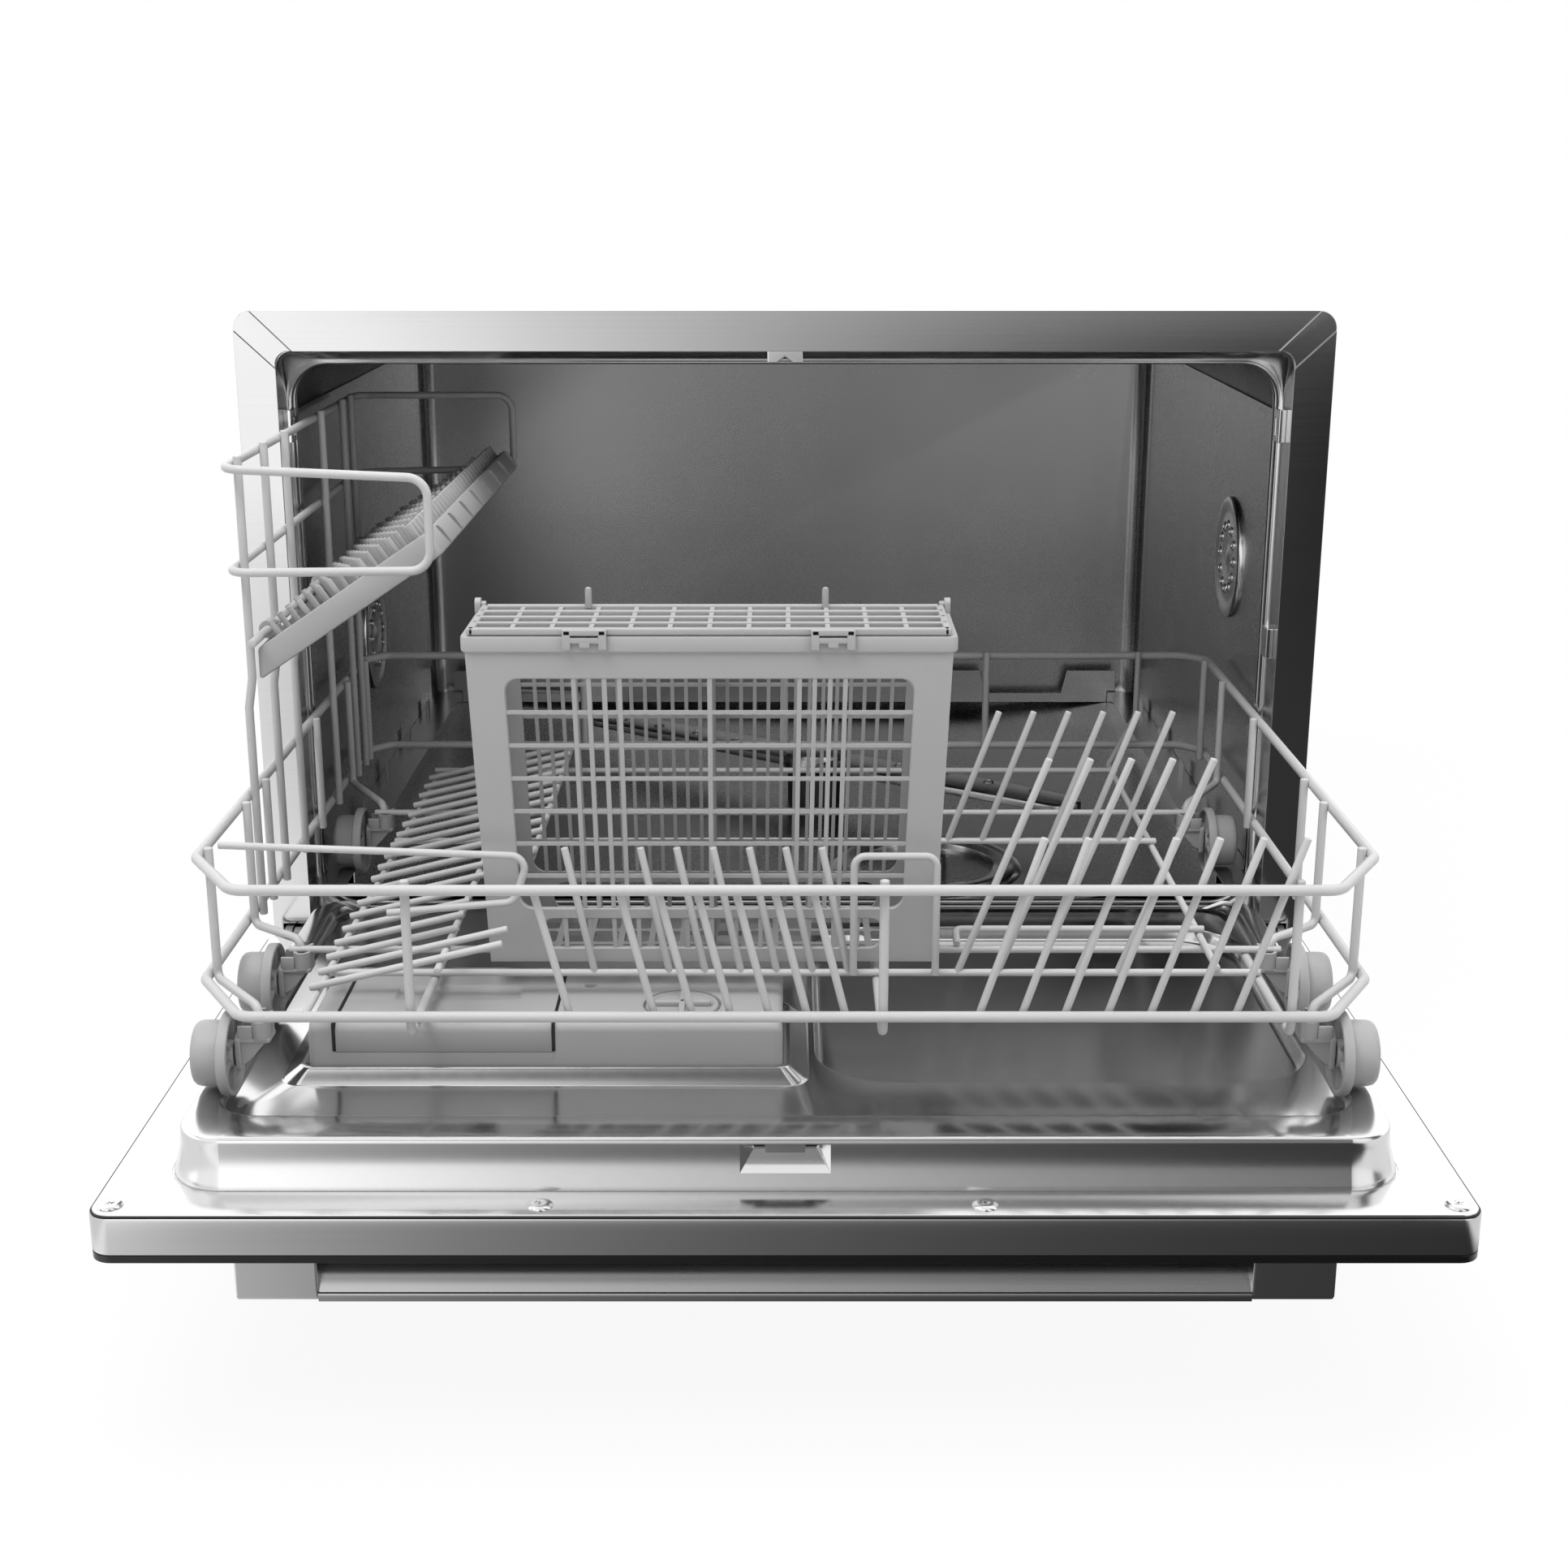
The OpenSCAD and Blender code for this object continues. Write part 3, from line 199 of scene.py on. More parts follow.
def steel(name, base, rough, stretch, line=0.05, bump=0.06, cloud=0.06, painted_shade=False):
    """Grain by a stretch for each axis; line and cloud say how much fine and wide noise change roughness. The last
    argument paints shade: it turns the upper corners near black in the base colour.
    """
    mat, tree, feed = finish_of(name, (base, base, base * 1.005), rough, 1.0)
    fine = grain(tree, stretch, 2.0)
    wide = grain(tree, (9.0, 9.0, 9.0), 2.0)
    colour = blend(tree, (wide * 0.7 + fine * 0.3).clamp(), (base * 0.9,) * 3, (min(1.0, base * 1.08),) * 3)
    if painted_shade:
        # Painted shade: the tub's upper corners are turned near black in the base colour, for shade and dark
        # reflections.
        across, _, height = axes_of(tree, place_on(tree))
        mask = ((height - SHADE_UP) * EDGE_UP).clamp() * ((across.size() - SHADE_OUT) * EDGE_OUT).clamp()
        colour = blend(tree, mask, colour, (0.012,) * 3)
    feed(Roughness=(rough + (fine - 0.5) * line + (wide - 0.5) * cloud).clamp(0.05, 1.0),
         Base_Color=colour, Normal=bumped(tree, fine, bump, 0.0001))
    return mat


brushed = steel("brushed stainless", 0.62, 0.11, (6.0, 900.0, 900.0), 0.03, 0.025, 0.02)
brushed_side = steel("brushed stainless, upright", 0.60, 0.30, (900.0, 900.0, 6.0))
pressed = steel("pressed stainless", 0.62, 0.24, (10.0, 500.0, 500.0), 0.04, 0.04)
satin = steel("satin tub steel", 0.42, 0.34, (40.0, 40.0, 600.0), 0.06, 0.05)
polished = steel("polished steel", 0.74, 0.12, (60.0, 60.0, 60.0), 0.03, 0.02)
bead_steel = steel("drawn bead steel", 0.66, 0.2, (30.0, 30.0, 30.0), 0.04, 0.02)
band_steel = steel("door edge steel", 0.62, 0.2, (6.0, 500.0, 500.0), 0.02, 0.02, 0.03)
handle_steel = steel("handle steel", 0.48, 0.27, (6.0, 700.0, 700.0), 0.03, 0.03)
polished_soft = steel("soft polished steel", 0.66, 0.2, (60.0, 60.0, 60.0), 0.03, 0.02)
door_steel = steel("door pressing steel", 0.72, 0.17, (240.0, 240.0, 240.0), 0.03, 0.012, 0.08)
# The tub's steel carries painted shade, near black, in its upper corners.
tub_steel = steel("tub steel", 0.5, 0.27, (1200.0, 1200.0, 1600.0), 0.03, 0.004, 0.02, True)
zinc = steel("zinc plated steel", 0.34, 0.42, (80.0, 80.0, 80.0), 0.12, 0.1, 0.2)
print("steels ready")

# %% [markdown]
# ## Plastics, coated wire and rubber
# The rack is steel wire dipped in grey nylon, which is even, slightly soft in its gloss and
# faintly pebbled. The rollers, shelf, basket and dispenser are moulded in a matching grey.
# Under the machine are dark plastics that nobody sees, and the seal is black rubber.


# %% Moulded and coated finishes
def moulded(name, colour, rough, pebble=500.0, bump=0.12, shade=0.06):
    mat, tree, feed = finish_of(name, colour, rough)
    fine = grain(tree, (pebble,) * 3, 2.0)
    wide = grain(tree, (14.0,) * 3, 3.0)
    feed(Roughness=(rough + (fine - 0.5) * 0.12).clamp(0.05, 1.0),
         Base_Color=blend(tree, (wide * 0.6 + fine * 0.4).clamp(),
                          [c * (1 - shade) for c in colour], [min(1.0, c * (1 + shade)) for c in colour]),
         Normal=bumped(tree, fine, bump, 0.00015))
    return mat


coated = moulded("grey coated wire", (0.47,) * 3, 0.42, 700.0, 0.08)
grey = moulded("grey moulded plastic", (0.36,) * 3, 0.48, 900.0, 0.12)
soft_grey = moulded("grey roller plastic", (0.33,) * 3, 0.42, 900.0, 0.08)
dark = moulded("dark plastic", (0.035, 0.035, 0.037), 0.5)
gloss_black = moulded("black gloss panel", (0.006,) * 3, 0.12, 300.0, 0.0, 0.02)
rubber = moulded("black rubber", (0.012,) * 3, 0.6, 900.0, 0.2)
iron = moulded("cast iron", (0.05, 0.05, 0.052), 0.75, 260.0, 0.6, 0.3)
casing_paint = moulded("pale painted casing", (0.8,) * 3, 0.35, 600.0, 0.05, 0.01)

FINISH = {
    "stainless": brushed, "tub_steel": satin, "bright_steel": polished, "black_panel": gloss_black,
    "black_plastic": dark, "grey_plastic": grey, "dark_plastic": dark, "coated_wire": coated,
    "zinc_steel": zinc, "seal_rubber": rubber, "cast_weight": iron, "casing_paint": casing_paint,
}
slot_of = {s["node"]: s["material_slot"] for s in frame["record"]["subparts"]}
for name, thing in frame["nodes"].items():
    thing.data.materials.clear()
    thing.data.materials.append(FINISH[slot_of[name]])
print("solids with a finish:", len(slot_of))

# %% [markdown]
# ## Surfaces from arrays
# Every new piece is a grid of points worked out with numpy: wires are rings along a path,
# turned parts are a profile round an axis, pressed sheets are a height over a plan. Three
# helpers are enough for all of them: one numbers the faces of a grid, one lets a mesh ride
# on a body, and one collects points and faces into a mesh and gives it a finish.


# %% Grids and meshes
def grid_faces(rows, cols, wrap_rows=False, wrap_cols=False, start=0):
    """Quads of a grid that is stored row by row: the corners are (i, j), (i, j+1), (i+1, j+1), (i+1, j)."""
    i = np.arange(rows if wrap_rows else rows - 1)[:, None]
    j = np.arange(cols if wrap_cols else cols - 1)[None, :]
    i2, j2 = (i + 1) % rows, (j + 1) % cols
    quads = np.stack([i * cols + j, i * cols + j2, i2 * cols + j2, i2 * cols + j], -1)
    return (quads.reshape(-1, 4) + start).tolist()


def mounted(name, mesh, body, replaced):
    """Lets a mesh ride on its body, and hides the solid that it stands in for, if any."""
    thing = bpy.data.objects.new(name, mesh)
    bpy.context.scene.collection.objects.link(thing)
    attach(thing, body)
    if replaced:
        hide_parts(replaced)
    return thing


class Batch:
    """Points and faces of several surfaces that end up in one mesh."""

    def __init__(self):
        self.points, self.faces, self.count = [], [], 0

    def grid(self, p, wrap_rows=False, wrap_cols=False, flip=False, cap_start=False, cap_end=False):
        """Adds a grid of points, shape (rows, cols, 3), with its first or last row closed by one face if asked."""
        p = np.asarray(p, float)
        rows, cols = p.shape[:2]
        faces = grid_faces(rows, cols, wrap_rows, wrap_cols, self.count)
        if cap_start:
            faces.append(list(range(self.count + cols - 1, self.count - 1, -1)))
        if cap_end:
            faces.append(list(range(self.count + (rows - 1) * cols, self.count + rows * cols)))
        self.faces += [f[::-1] for f in faces] if flip else faces
        self.points.append(p.reshape(-1, 3))
        self.count += rows * cols
        return self

    def piece(self, name, body, material, slot, replaced=None, smooth=True, angle=None):
        mesh = bpy.data.meshes.new(name)
        mesh.from_pydata(place(np.concatenate(self.points)).tolist(), [], self.faces)
        mesh.polygons.foreach_set("use_smooth", [smooth] * len(mesh.polygons))
        mesh.materials.append(material)
        mesh.update()
        thing = mounted(name, mesh, body, replaced)
        if angle is not None:
            split = thing.modifiers.new("crisp edges", "EDGE_SPLIT")
            split.split_angle = math.radians(angle)
        print(name, "faces:", len(mesh.polygons))


# %% [markdown]
# ## Bent wire
# A dish rack is straight wire, bent round a former and welded where it crosses. The path is
# the drawing's corner points with each corner replaced by an arc that touches both legs.
# A ring of points is then carried along that path without twisting it, and the cut ends are
# closed with a small rounded face, as the nylon coat leaves them.


# %% Wire helpers
def unit(v):
    v = np.asarray(v, float)
    return v / np.linalg.norm(v, axis=-1, keepdims=True)


def bent(points, radius, closed=False):
    """Corner points to a smooth path. A corner with turn t becomes an arc of that radius, whose
    ends lie radius * tan(t / 2) before and after the corner."""
    p = np.asarray(points, float)
    n = len(p)
    path = [] if closed else [p[:1]]
    for k in range(n) if closed else range(1, n - 1):
        a, b, c = p[k - 1], p[k], p[(k + 1) % n]
        u, v = unit(b - a), unit(c - b)
        turn = math.acos(float(np.clip(u @ v, -1, 1)))
        if turn < 0.02:
            path.append(p[k:k + 1])
            continue
        w = unit(v - (u @ v) * u)
        trim = radius * math.tan(turn / 2)
        centre = b - u * trim + w * radius
        t = np.linspace(0, turn, max(3, int(turn * 7 / 1.2) + 2))[:, None]
        path.append(centre - w * radius * np.cos(t) + u * radius * np.sin(t))
    if not closed:
        path.append(p[-1:])
    return np.concatenate(path)


def rings(path, radius, sides, closed=False):
    """Rings square to a path: centre + r * (cos a * n + sin a * b), where n is carried from ring to
    ring by taking away its part along the path, and b is tangent x n."""
    ahead = np.roll(path, -1, 0) - path
    behind = path - np.roll(path, 1, 0)
    if not closed:
        ahead[-1], behind[0] = behind[-1], ahead[0]
    tangent = unit(unit(ahead) + unit(behind))
    normal = np.empty_like(path)
    first = np.eye(3)[int(np.argmin(np.abs(tangent[0])))]
    for k, t in enumerate(tangent):
        first = unit(first - (first @ t) * t)
        normal[k] = first
    side = np.cross(tangent, normal)
    a = np.linspace(0, 2 * math.pi, sides, endpoint=False)[None, :, None]
    r = np.broadcast_to(np.asarray(radius, float), (len(path),))[:, None, None]
    return path[:, None] + r * (np.cos(a) * normal[:, None] + np.sin(a) * side[:, None])


def wire(batch, points, d, r=6.0):
    """One bent wire with rounded ends: the end rings shrink as r * sqrt(1 - s * s) over the last bit of the wire."""
    path = bent(points, r)
    out0, out1 = unit(path[0] - path[1]), unit(path[-1] - path[-2])
    back = np.array([0.16, 0.05, 0.0]) * d
    ends = np.array([1.0, 0.94, 0.78]) * d / 2
    path = np.concatenate([path[0] - out0 * back[::-1][:, None], path[1:-1], path[-1] - out1 * back[:, None]])
    radii = np.concatenate([ends[::-1], np.full(len(path) - 6, d / 2), ends])
    batch.grid(rings(path, radii, 12), wrap_cols=True, cap_start=True, cap_end=True)


def loop(batch, points, d, r, sides=12):
    """One closed wire."""
    batch.grid(rings(bent(points, r, True), d / 2, sides, True), wrap_rows=True, wrap_cols=True)


# %% [markdown]
# ## The rack
# Two rings of thick wire carry everything. Posts join them, and some posts bend inwards under
# the lower ring to reach the roller clips. The floor is a mat of thinner wire with leaning
# tines for plates, a raised rib field on the left for bowls, and a tall side frame that
# carries the cup shelf.

# %% The rack's numbers
RING, POST, TINE, WELD = 4.6, 4.0, 3.3, 0.2
LOW, TOP = 171.0, 226.0
HALF = 249.5
FRONT, BACK = -268.0, 162.0
POST_X = HALF - (RING + POST) / 2 + WELD
POST_TOP = TOP + RING / 2 + 0.7
CROSS = LOW - 6.0
FLOOR = CROSS + TINE - WELD
PLATE = FLOOR + TINE - WELD
UNDER = CROSS - (POST + TINE) / 2 + WELD
ROLLER_Y = (-254.0, -173.0, 41.0)
ROLLER_Z = 149.0
DRUM_X = 235.7
CLIP_X = DRUM_X - 4.7 - 11.5
CLIP_TOP = CROSS + TINE / 2 + 1.6
BASE_Y = FRONT + (RING + POST) / 2 - WELD
TINE_Y = FRONT + (RING + TINE) / 2 - WELD
REAR_Y = BACK - (RING + POST) / 2 + WELD
INNER_Y = -202.0  # the second row of tines
LONG_X, BOWL_X, RIB_X, RIB_SHORT = 190.0, -200.0, -122.0, -147.0


def rib_height(x):
    """The ribs slope up to the right by 0.24 of their length."""
    return PLATE + (x - BOWL_X) * 0.24


def mirrored(points):
    return [(-x, y, z) for x, y, z in points]


def dipped(batch, name, replaced):
    """A welded group of wires becomes a coated piece of the rack."""
    batch.piece(name, "rack", coated, "coated_wire", replaced)


# %% Rings and posts
rim = Batch()
for z in (LOW, TOP):
    loop(rim, [(225, FRONT, z), (HALF, FRONT + 42, z), (HALF, BACK - 13, z), (HALF - 12, BACK, z),
               (-HALF + 12, BACK, z), (-HALF, BACK - 13, z), (-HALF, FRONT + 42, z), (-225, FRONT, z)], RING, 9.0, 16)
dipped(rim, "rack_rims", "rack_rings")

posts = Batch()
for y, off in zip(ROLLER_Y, (33, 20, 42)):
    line = [(POST_X, y + off, POST_TOP), (POST_X, y + off, LOW - 1), (CLIP_X + 1.4, y + 1.2, CLIP_TOP + 1.2),
            (CLIP_X + 0.6, y + 1.2, CLIP_TOP - 9.5)]
    wire(posts, line, POST, 4.0)
    wire(posts, mirrored(line), POST, 4.0)
for y in (-115, 0, 136):
    for x in (POST_X, -POST_X):
        wire(posts, [(x, y, LOW - 2), (x, y, POST_TOP)], POST)
for x in (-120, 0, 120):
    wire(posts, [(x, REAR_Y, LOW - 2), (x, REAR_Y, POST_TOP)], POST)
dipped(posts, "rack_posts", "rack_side_posts")

# %% Floor wires
along = Batch()
for x in (-155, 40.5, 209.5):
    wire(along, [(x, BASE_Y, POST_TOP), (x, BASE_Y, UNDER), (x, ROLLER_Y[1] + 6, UNDER)], POST, 5.0)
wire(along, [(BOWL_X, ROLLER_Y[0] - 6, FLOOR), (BOWL_X, 112, FLOOR)], TINE)
for x, y in ((RIB_X, -130), (RIB_SHORT, -242)):
    wire(along, [(x, y, rib_height(x) - 3.1), (x, 98, rib_height(x) - 3.1)], TINE)
rise_y = BACK - (RING + TINE) / 2 + WELD
wire(along, [(LONG_X + 20, rise_y, POST_TOP), (LONG_X + 20, rise_y, 190), (LONG_X, 126, FLOOR), (LONG_X, -206, FLOOR)],
     TINE, 6.0)
dipped(along, "rack_long_wires", "rack_long_wires")

across = Batch()
for y in ROLLER_Y:
    wire(across, [(-CLIP_X - 6, y, CROSS), (CLIP_X + 6, y, CROSS)], TINE)
wire(across, [(BOWL_X - 2, INNER_Y, CROSS), (LONG_X + 20, INNER_Y, CROSS)], TINE)
wire(across, [(LONG_X + 2, -163, PLATE), (78, -163, PLATE), (78, -174, CROSS + TINE - WELD)], TINE, 3.0)
for y in (-30, 104):
    wire(across, [(BOWL_X - 2, y, PLATE), (LONG_X + 2, y, PLATE)], TINE)
for k in range(19):
    y = -234 + 18 * k
    end = RIB_SHORT + 3 if -203 < y < -133 else RIB_X + 2
    wire(across, [(BOWL_X - 3, y, rib_height(BOWL_X - 3)), (end, y, rib_height(end))], TINE)
dipped(across, "rack_cross_wires", "rack_cross_wires")


# %% Tines
def tines(batch, x, y, z, count, pitch, lean, height):
    """A row of tines: each stands at x + k * pitch and leans sideways by the same amount."""
    for k in range(count):
        wire(batch, [(x + k * pitch, y, z), (x + k * pitch + lean, y, z + height)], TINE)


left = Batch()
tines(left, -84, INNER_Y, CROSS, 1, 0, -12, 58)
tines(left, -51, INNER_Y, CROSS, 6, 15.8, -12, 58)
tines(left, -89, TINE_Y, LOW - 1, 1, 0, -14, 56)
tines(left, -54, TINE_Y, LOW - 1, 6, 15.8, -14, 56)
loop_y = INNER_Y - TINE + WELD
wire(left, [(-POST_X, loop_y, TOP - 1), (-111, loop_y, TOP - 6), (-118, loop_y, 199), (-174, loop_y, 194)], TINE, 6.0)
wire(left, [(30, loop_y, CROSS), (30, loop_y, TOP - 6), (66, loop_y, TOP - 6), (66, loop_y, CROSS)], TINE, 5.0)
dipped(left, "rack_left_tines", "rack_left_tines")

right = Batch()
tines(right, 80, TINE_Y, LOW - 1, 7, 17.7, 25, 77)
tines(right, 76, INNER_Y, CROSS, 5, 17.7, 37.5, 98)
tines(right, 84, -30, PLATE, 6, 17.7, 25, 69)
dipped(right, "rack_right_tines", "rack_right_tines")

# %% The tall side frame
CUP_X, SHELF_X, SHELF_Z, CUP_TOP = -HALF + 6.5, -HALF + 9.9, 301.0, 380.0
side = Batch()
for y in (-136, -86, -42, 44, 100, 123):
    line = [(CUP_X, y, CUP_TOP + 4), (CUP_X, y, SHELF_Z - 18), (-POST_X, y, SHELF_Z - 32), (-POST_X, y, LOW - 2)]
    wire(side, line, POST, 6.0)
far = CUP_X - POST + WELD
loop(side, [(far, -150, CUP_TOP), (-157, -150, CUP_TOP - 4), (-157, -150, CUP_TOP - 45), (far, -150, CUP_TOP - 46),
            (far, 158, CUP_TOP - 44), (-157, 158, CUP_TOP - 42), (-157, 158, CUP_TOP), (far, 158, CUP_TOP)], POST, 9.0)
wire(side, [(SHELF_X, -146, SHELF_Z), (SHELF_X, 154, SHELF_Z)], POST)
dipped(side, "cup_side_frame", "cup_frame")

# %% [markdown]
# ## Pressed, folded and turned shapes
# Sheet metal and mouldings are skins over outlines: a rounded rectangle at one height is
# joined to the next one, point by point. A turned part is the same thing with circles. All
# outlines come from one function and have the same number of points, so a rectangle can
# also run into a circle, which is how a round hole is set into a flat floor.


# %% Outlines and skins
def outline(a, b, r, steps=8, xs=(), ys=()):
    """A rectangle from a to b, anticlockwise: four arcs c + r * (cos t, sin t), with extra points
    at the given places on the straight sides between them."""
    (x0, y0), (x1, y1) = a, b
    r = max(0.02, min(r, (x1 - x0) / 2 - 0.01, (y1 - y0) / 2 - 0.01))
    t = np.radians(np.linspace(0, 90, steps + 1))

    def arc(cx, cy, turn):
        return np.column_stack([cx + r * np.cos(t + turn), cy + r * np.sin(t + turn)])

    xs = np.clip(np.sort(np.asarray(xs, float)), x0 + r, x1 - r)
    ys = np.clip(np.sort(np.asarray(ys, float)), y0 + r, y1 - r)
    return np.concatenate([
        arc(x1 - r, y1 - r, 0.0), np.column_stack([xs[::-1], np.full(len(xs), y1)]),
        arc(x0 + r, y1 - r, math.pi / 2), np.column_stack([np.full(len(ys), x0), ys[::-1]]),
        arc(x0 + r, y0 + r, math.pi), np.column_stack([xs, np.full(len(xs), y0)]),
        arc(x1 - r, y0 + r, math.pi * 1.5), np.column_stack([np.full(len(ys), x1), ys])])


def inset(cell, g, r, steps=8, xs=(), ys=()):
    """The outline of a rectangle whose sides have moved inwards by g."""
    (x0, y0), (x1, y1) = cell
    return outline((x0 + g, y0 + g), (x1 - g, y1 - g), r, steps, xs, ys)


def disc(centre, r, steps=8):
    """A circle as an outline, so that it can be joined to the outline of a rectangle."""
    return outline((centre[0] - r, centre[1] - r), (centre[0] + r, centre[1] + r), r, steps)


def oblong(x0, x1, z0, z1):
    """The four corners of a plain rectangle."""
    return np.array([[x0, z0], [x1, z0], [x1, z1], [x0, z1]], float)


AXES = {"z": (0, 1, 2), "y": (0, 2, 1), "x": (2, 0, 1)}
OPEN, FLOORED = (False, False), (False, True)  # which ends of a skin are closed


def lift(rows, axis="z"):
    """Outline k at height h_k along the axis: the first two numbers are the outline's, the third is h_k."""
    flat = np.stack([np.column_stack([line, np.broadcast_to(h, (len(line),))]) for line, h in rows])
    return flat[..., AXES[axis]]


def skin(batch, rows, axis="z", caps=(True, True), flip=False, ring=False):
    """Joins each outline to the next; a ring also joins the last one to the first."""
    batch.grid(lift(rows, axis), ring, True, flip != (axis == "y"), *caps)


def stack(line, pairs):
    """One family of outlines: for each (how far in or out, height) the outline and its height."""
    return [(line(*g) if isinstance(g, tuple) else line(g), h) for g, h in pairs]


def slab(batch, a, b, r=2.0, edge=0.6, axis="z", steps=5):
    """A block with rounded corners r and eased edges: near each end the outline shrinks by
    edge * (1 - sin t) while the height moves by edge * (1 - cos t)."""
    pick = {"z": (0, 1, 2), "y": (0, 2, 1), "x": (1, 2, 0)}[axis]
    (u0, v0, h0), (u1, v1, h1) = [[p[k] for k in pick] for p in (a, b)]
    rows = []
    for t in np.radians((0, 30, 60, 90)):
        g = edge * (1 - math.sin(t))
        rows.append((inset(((u0, v0), (u1, v1)), g, r - g * 0.9, steps), h0 + edge * (1 - math.cos(t))))
    rows += [(line, h0 + h1 - h) for line, h in rows[::-1]]
    skin(batch, rows, axis)


def turned(batch, profile, centre, axis="z", sides=48, caps=(True, True), ring=False, flip=False):
    """A profile of (radius, height) pairs turned round an axis: circles centre + r * (cos t, sin t)."""
    t = np.linspace(0, 2 * math.pi, sides, endpoint=False)
    circle = np.column_stack([np.cos(t), np.sin(t)])
    skin(batch, [(np.asarray(centre, float) + circle * r, h) for r, h in profile], axis, caps, flip, ring)


def raised(profile, base, side=1):
    """A profile whose heights are counted from a base, upwards or, with side -1, downwards."""
    return [(r, base + side * h) for r, h in profile]


def blade(angle, near, far, half, centre):
    """A narrow rectangle that points outwards from a centre: corners d * r -+ n * half."""
    d, n = np.array([math.cos(angle), math.sin(angle)]), np.array([-math.sin(angle), math.cos(angle)])
    return np.array([d * near - n * half, d * far - n * half, d * far + n * half, d * near + n * half]) + centre


def without(batch, inside):
    """Takes out the faces of a batch whose middle lies where inside(points) is true."""
    p = np.concatenate(batch.points)
    gone = inside(np.array([p[f].mean(0) for f in batch.faces]))
    batch.faces = [f for f, out in zip(batch.faces, gone) if not out]


def within(m, a, b):
    """Which points lie between the corners a and b, seen from above."""
    return (m[:, 0] > a[0]) & (m[:, 0] < b[0]) & (m[:, 1] > a[1]) & (m[:, 1] < b[1])


EASED = math.radians(32)  # edges sharper than this are eased


def softened(name, solid, body, material, width, segments=2):
    """A copy of a CAD solid with merged points, whose sharp edges are cut back by the width and
    rounded. It takes the material that is given."""
    mesh = bpy.data.meshes.new(name)
    work = bmesh.new()
    work.from_mesh(frame["nodes"][solid].data)
    bmesh.ops.remove_doubles(work, verts=work.verts, dist=2e-6)
    bmesh.ops.dissolve_limit(work, angle_limit=math.radians(0.4), verts=work.verts, edges=work.edges)
    work.to_mesh(mesh)
    work.free()
    mesh.polygons.foreach_set("use_smooth", [True] * len(mesh.polygons))
    mesh.materials.clear()
    mesh.materials.append(material)
    thing = mounted(name, mesh, body, solid)
    ease = thing.modifiers.new("eased edges", "BEVEL")
    ease.width, ease.segments = width / 1000.0, segments
    ease.limit_method, ease.angle_limit = "ANGLE", EASED
    even = thing.modifiers.new("even shading", "WEIGHTED_NORMAL")
    even.keep_sharp = True
    print(name, "faces before easing:", len(mesh.polygons))


# %% [markdown]
# ## The casing and the front frame
# The casing is one sheet, folded down both sides over generous corners and painted pale. The
# front frame is a flat stainless picture frame: each upper corner is a separate strip between
# two diagonal seams. The frame's solids only need their edges eased, so that each seam
# catches the light as a fine line.

# %% Casing
HALF_W, TOP_Z, DEPTH, FOOT, BEND = 275.0, 438.0, 480.0, 12.0, 9.0


def arch(g):
    """Half circle-cornered arch: up the right side, over the top, down the left."""
    t = np.radians(np.linspace(0, 90, 11))
    r = BEND - g
    right = np.column_stack([HALF_W - BEND + r * np.cos(t), TOP_Z - BEND + r * np.sin(t)])
    left = right[::-1] * (-1, 1)
    return np.concatenate([[[HALF_W - g, FOOT]], right, left, [[-HALF_W + g, FOOT]]])


shell = np.concatenate([arch(0.0), arch(1.0)[::-1]])
casing = Batch()
skin(casing, [(shell, y) for y in (1.5, 2.4, DEPTH - 1, DEPTH)], "y")
casing.piece("casing_shell", "cabinet", casing_paint, slot_of["outer_casing"], "outer_casing", angle=50)
softened("face_frame", "front_frame", "cabinet", brushed, 0.45)
softened("face_frame_corners", "frame_corners", "cabinet", brushed, 0.45)

# %% [markdown]
# ## The mouth
# Behind the frame the sheet is drawn inwards into a rolled double bead, and the black door
# seal sits in the groove between the two rolls. The outline changes from the frame's small
# corners to the mouth's large ones on the way, so the corner flares like a trumpet. The
# profile is a list of steps: how far the outline has changed, how far it stands in, and
# how deep it lies.

# %% Flare, beads and seal
OPENING, MOUTH = ((-255.0, 112.0), (255.0, 418.0)), ((-254.5, 116.0), (254.5, 412.0))


def between(s, g):
    """The opening's outline blended with the mouth's by s, then moved inwards by g."""
    return inset(OPENING, g, 8 - g, 12) * (1 - s) + inset(MOUTH, g, 21 - g, 12) * s


steps = [(0.0, 0.0, 1.5), (0.0, 0.0, 6.0), (0.12, 0.0, 10.0), (0.4, 0.0, 14.5), (0.75, 0.0, 18.0), (1.0, 0.0, 20.0)]
steps += [(1.0, g, y) for g, y in (
    (0.5, 20.1), (1.2, 20.4), (1.8, 21.0), (2.2, 22.0), (2.3, 23.2), (2.2, 24.6), (1.4, 25.8), (0.5, 26.2), (0.5, 28.2),
    (1.3, 28.4), (1.9, 29.0), (2.25, 30.2), (2.3, 31.2), (2.1, 32.6), (1.2, 33.7), (0.0, 34.0), (-2.4, 34.0))]
steps += [(0.4, -2.6, 20.0), (0.0, -2.6, 2.0), (0.0, -1.0, 1.5)]
mouth = Batch()
skin(mouth, [(between(s, g), y) for s, g, y in steps], "y", OPEN, True, True)
mouth.piece("mouth_beads", "cabinet", bead_steel, "stainless", "tub_flange", angle=60)
lip = Batch()
SEAL = ((-0.6, 26.3), (0.7, 26.3), (1.1, 26.8), (1.1, 27.6), (0.7, 28.1), (-0.6, 28.1))
skin(lip, [(between(1.0, g), y) for g, y in SEAL], "y", OPEN, True, True)
lip.piece("mouth_seal", "cabinet", rubber, "seal_rubber", "door_seal")

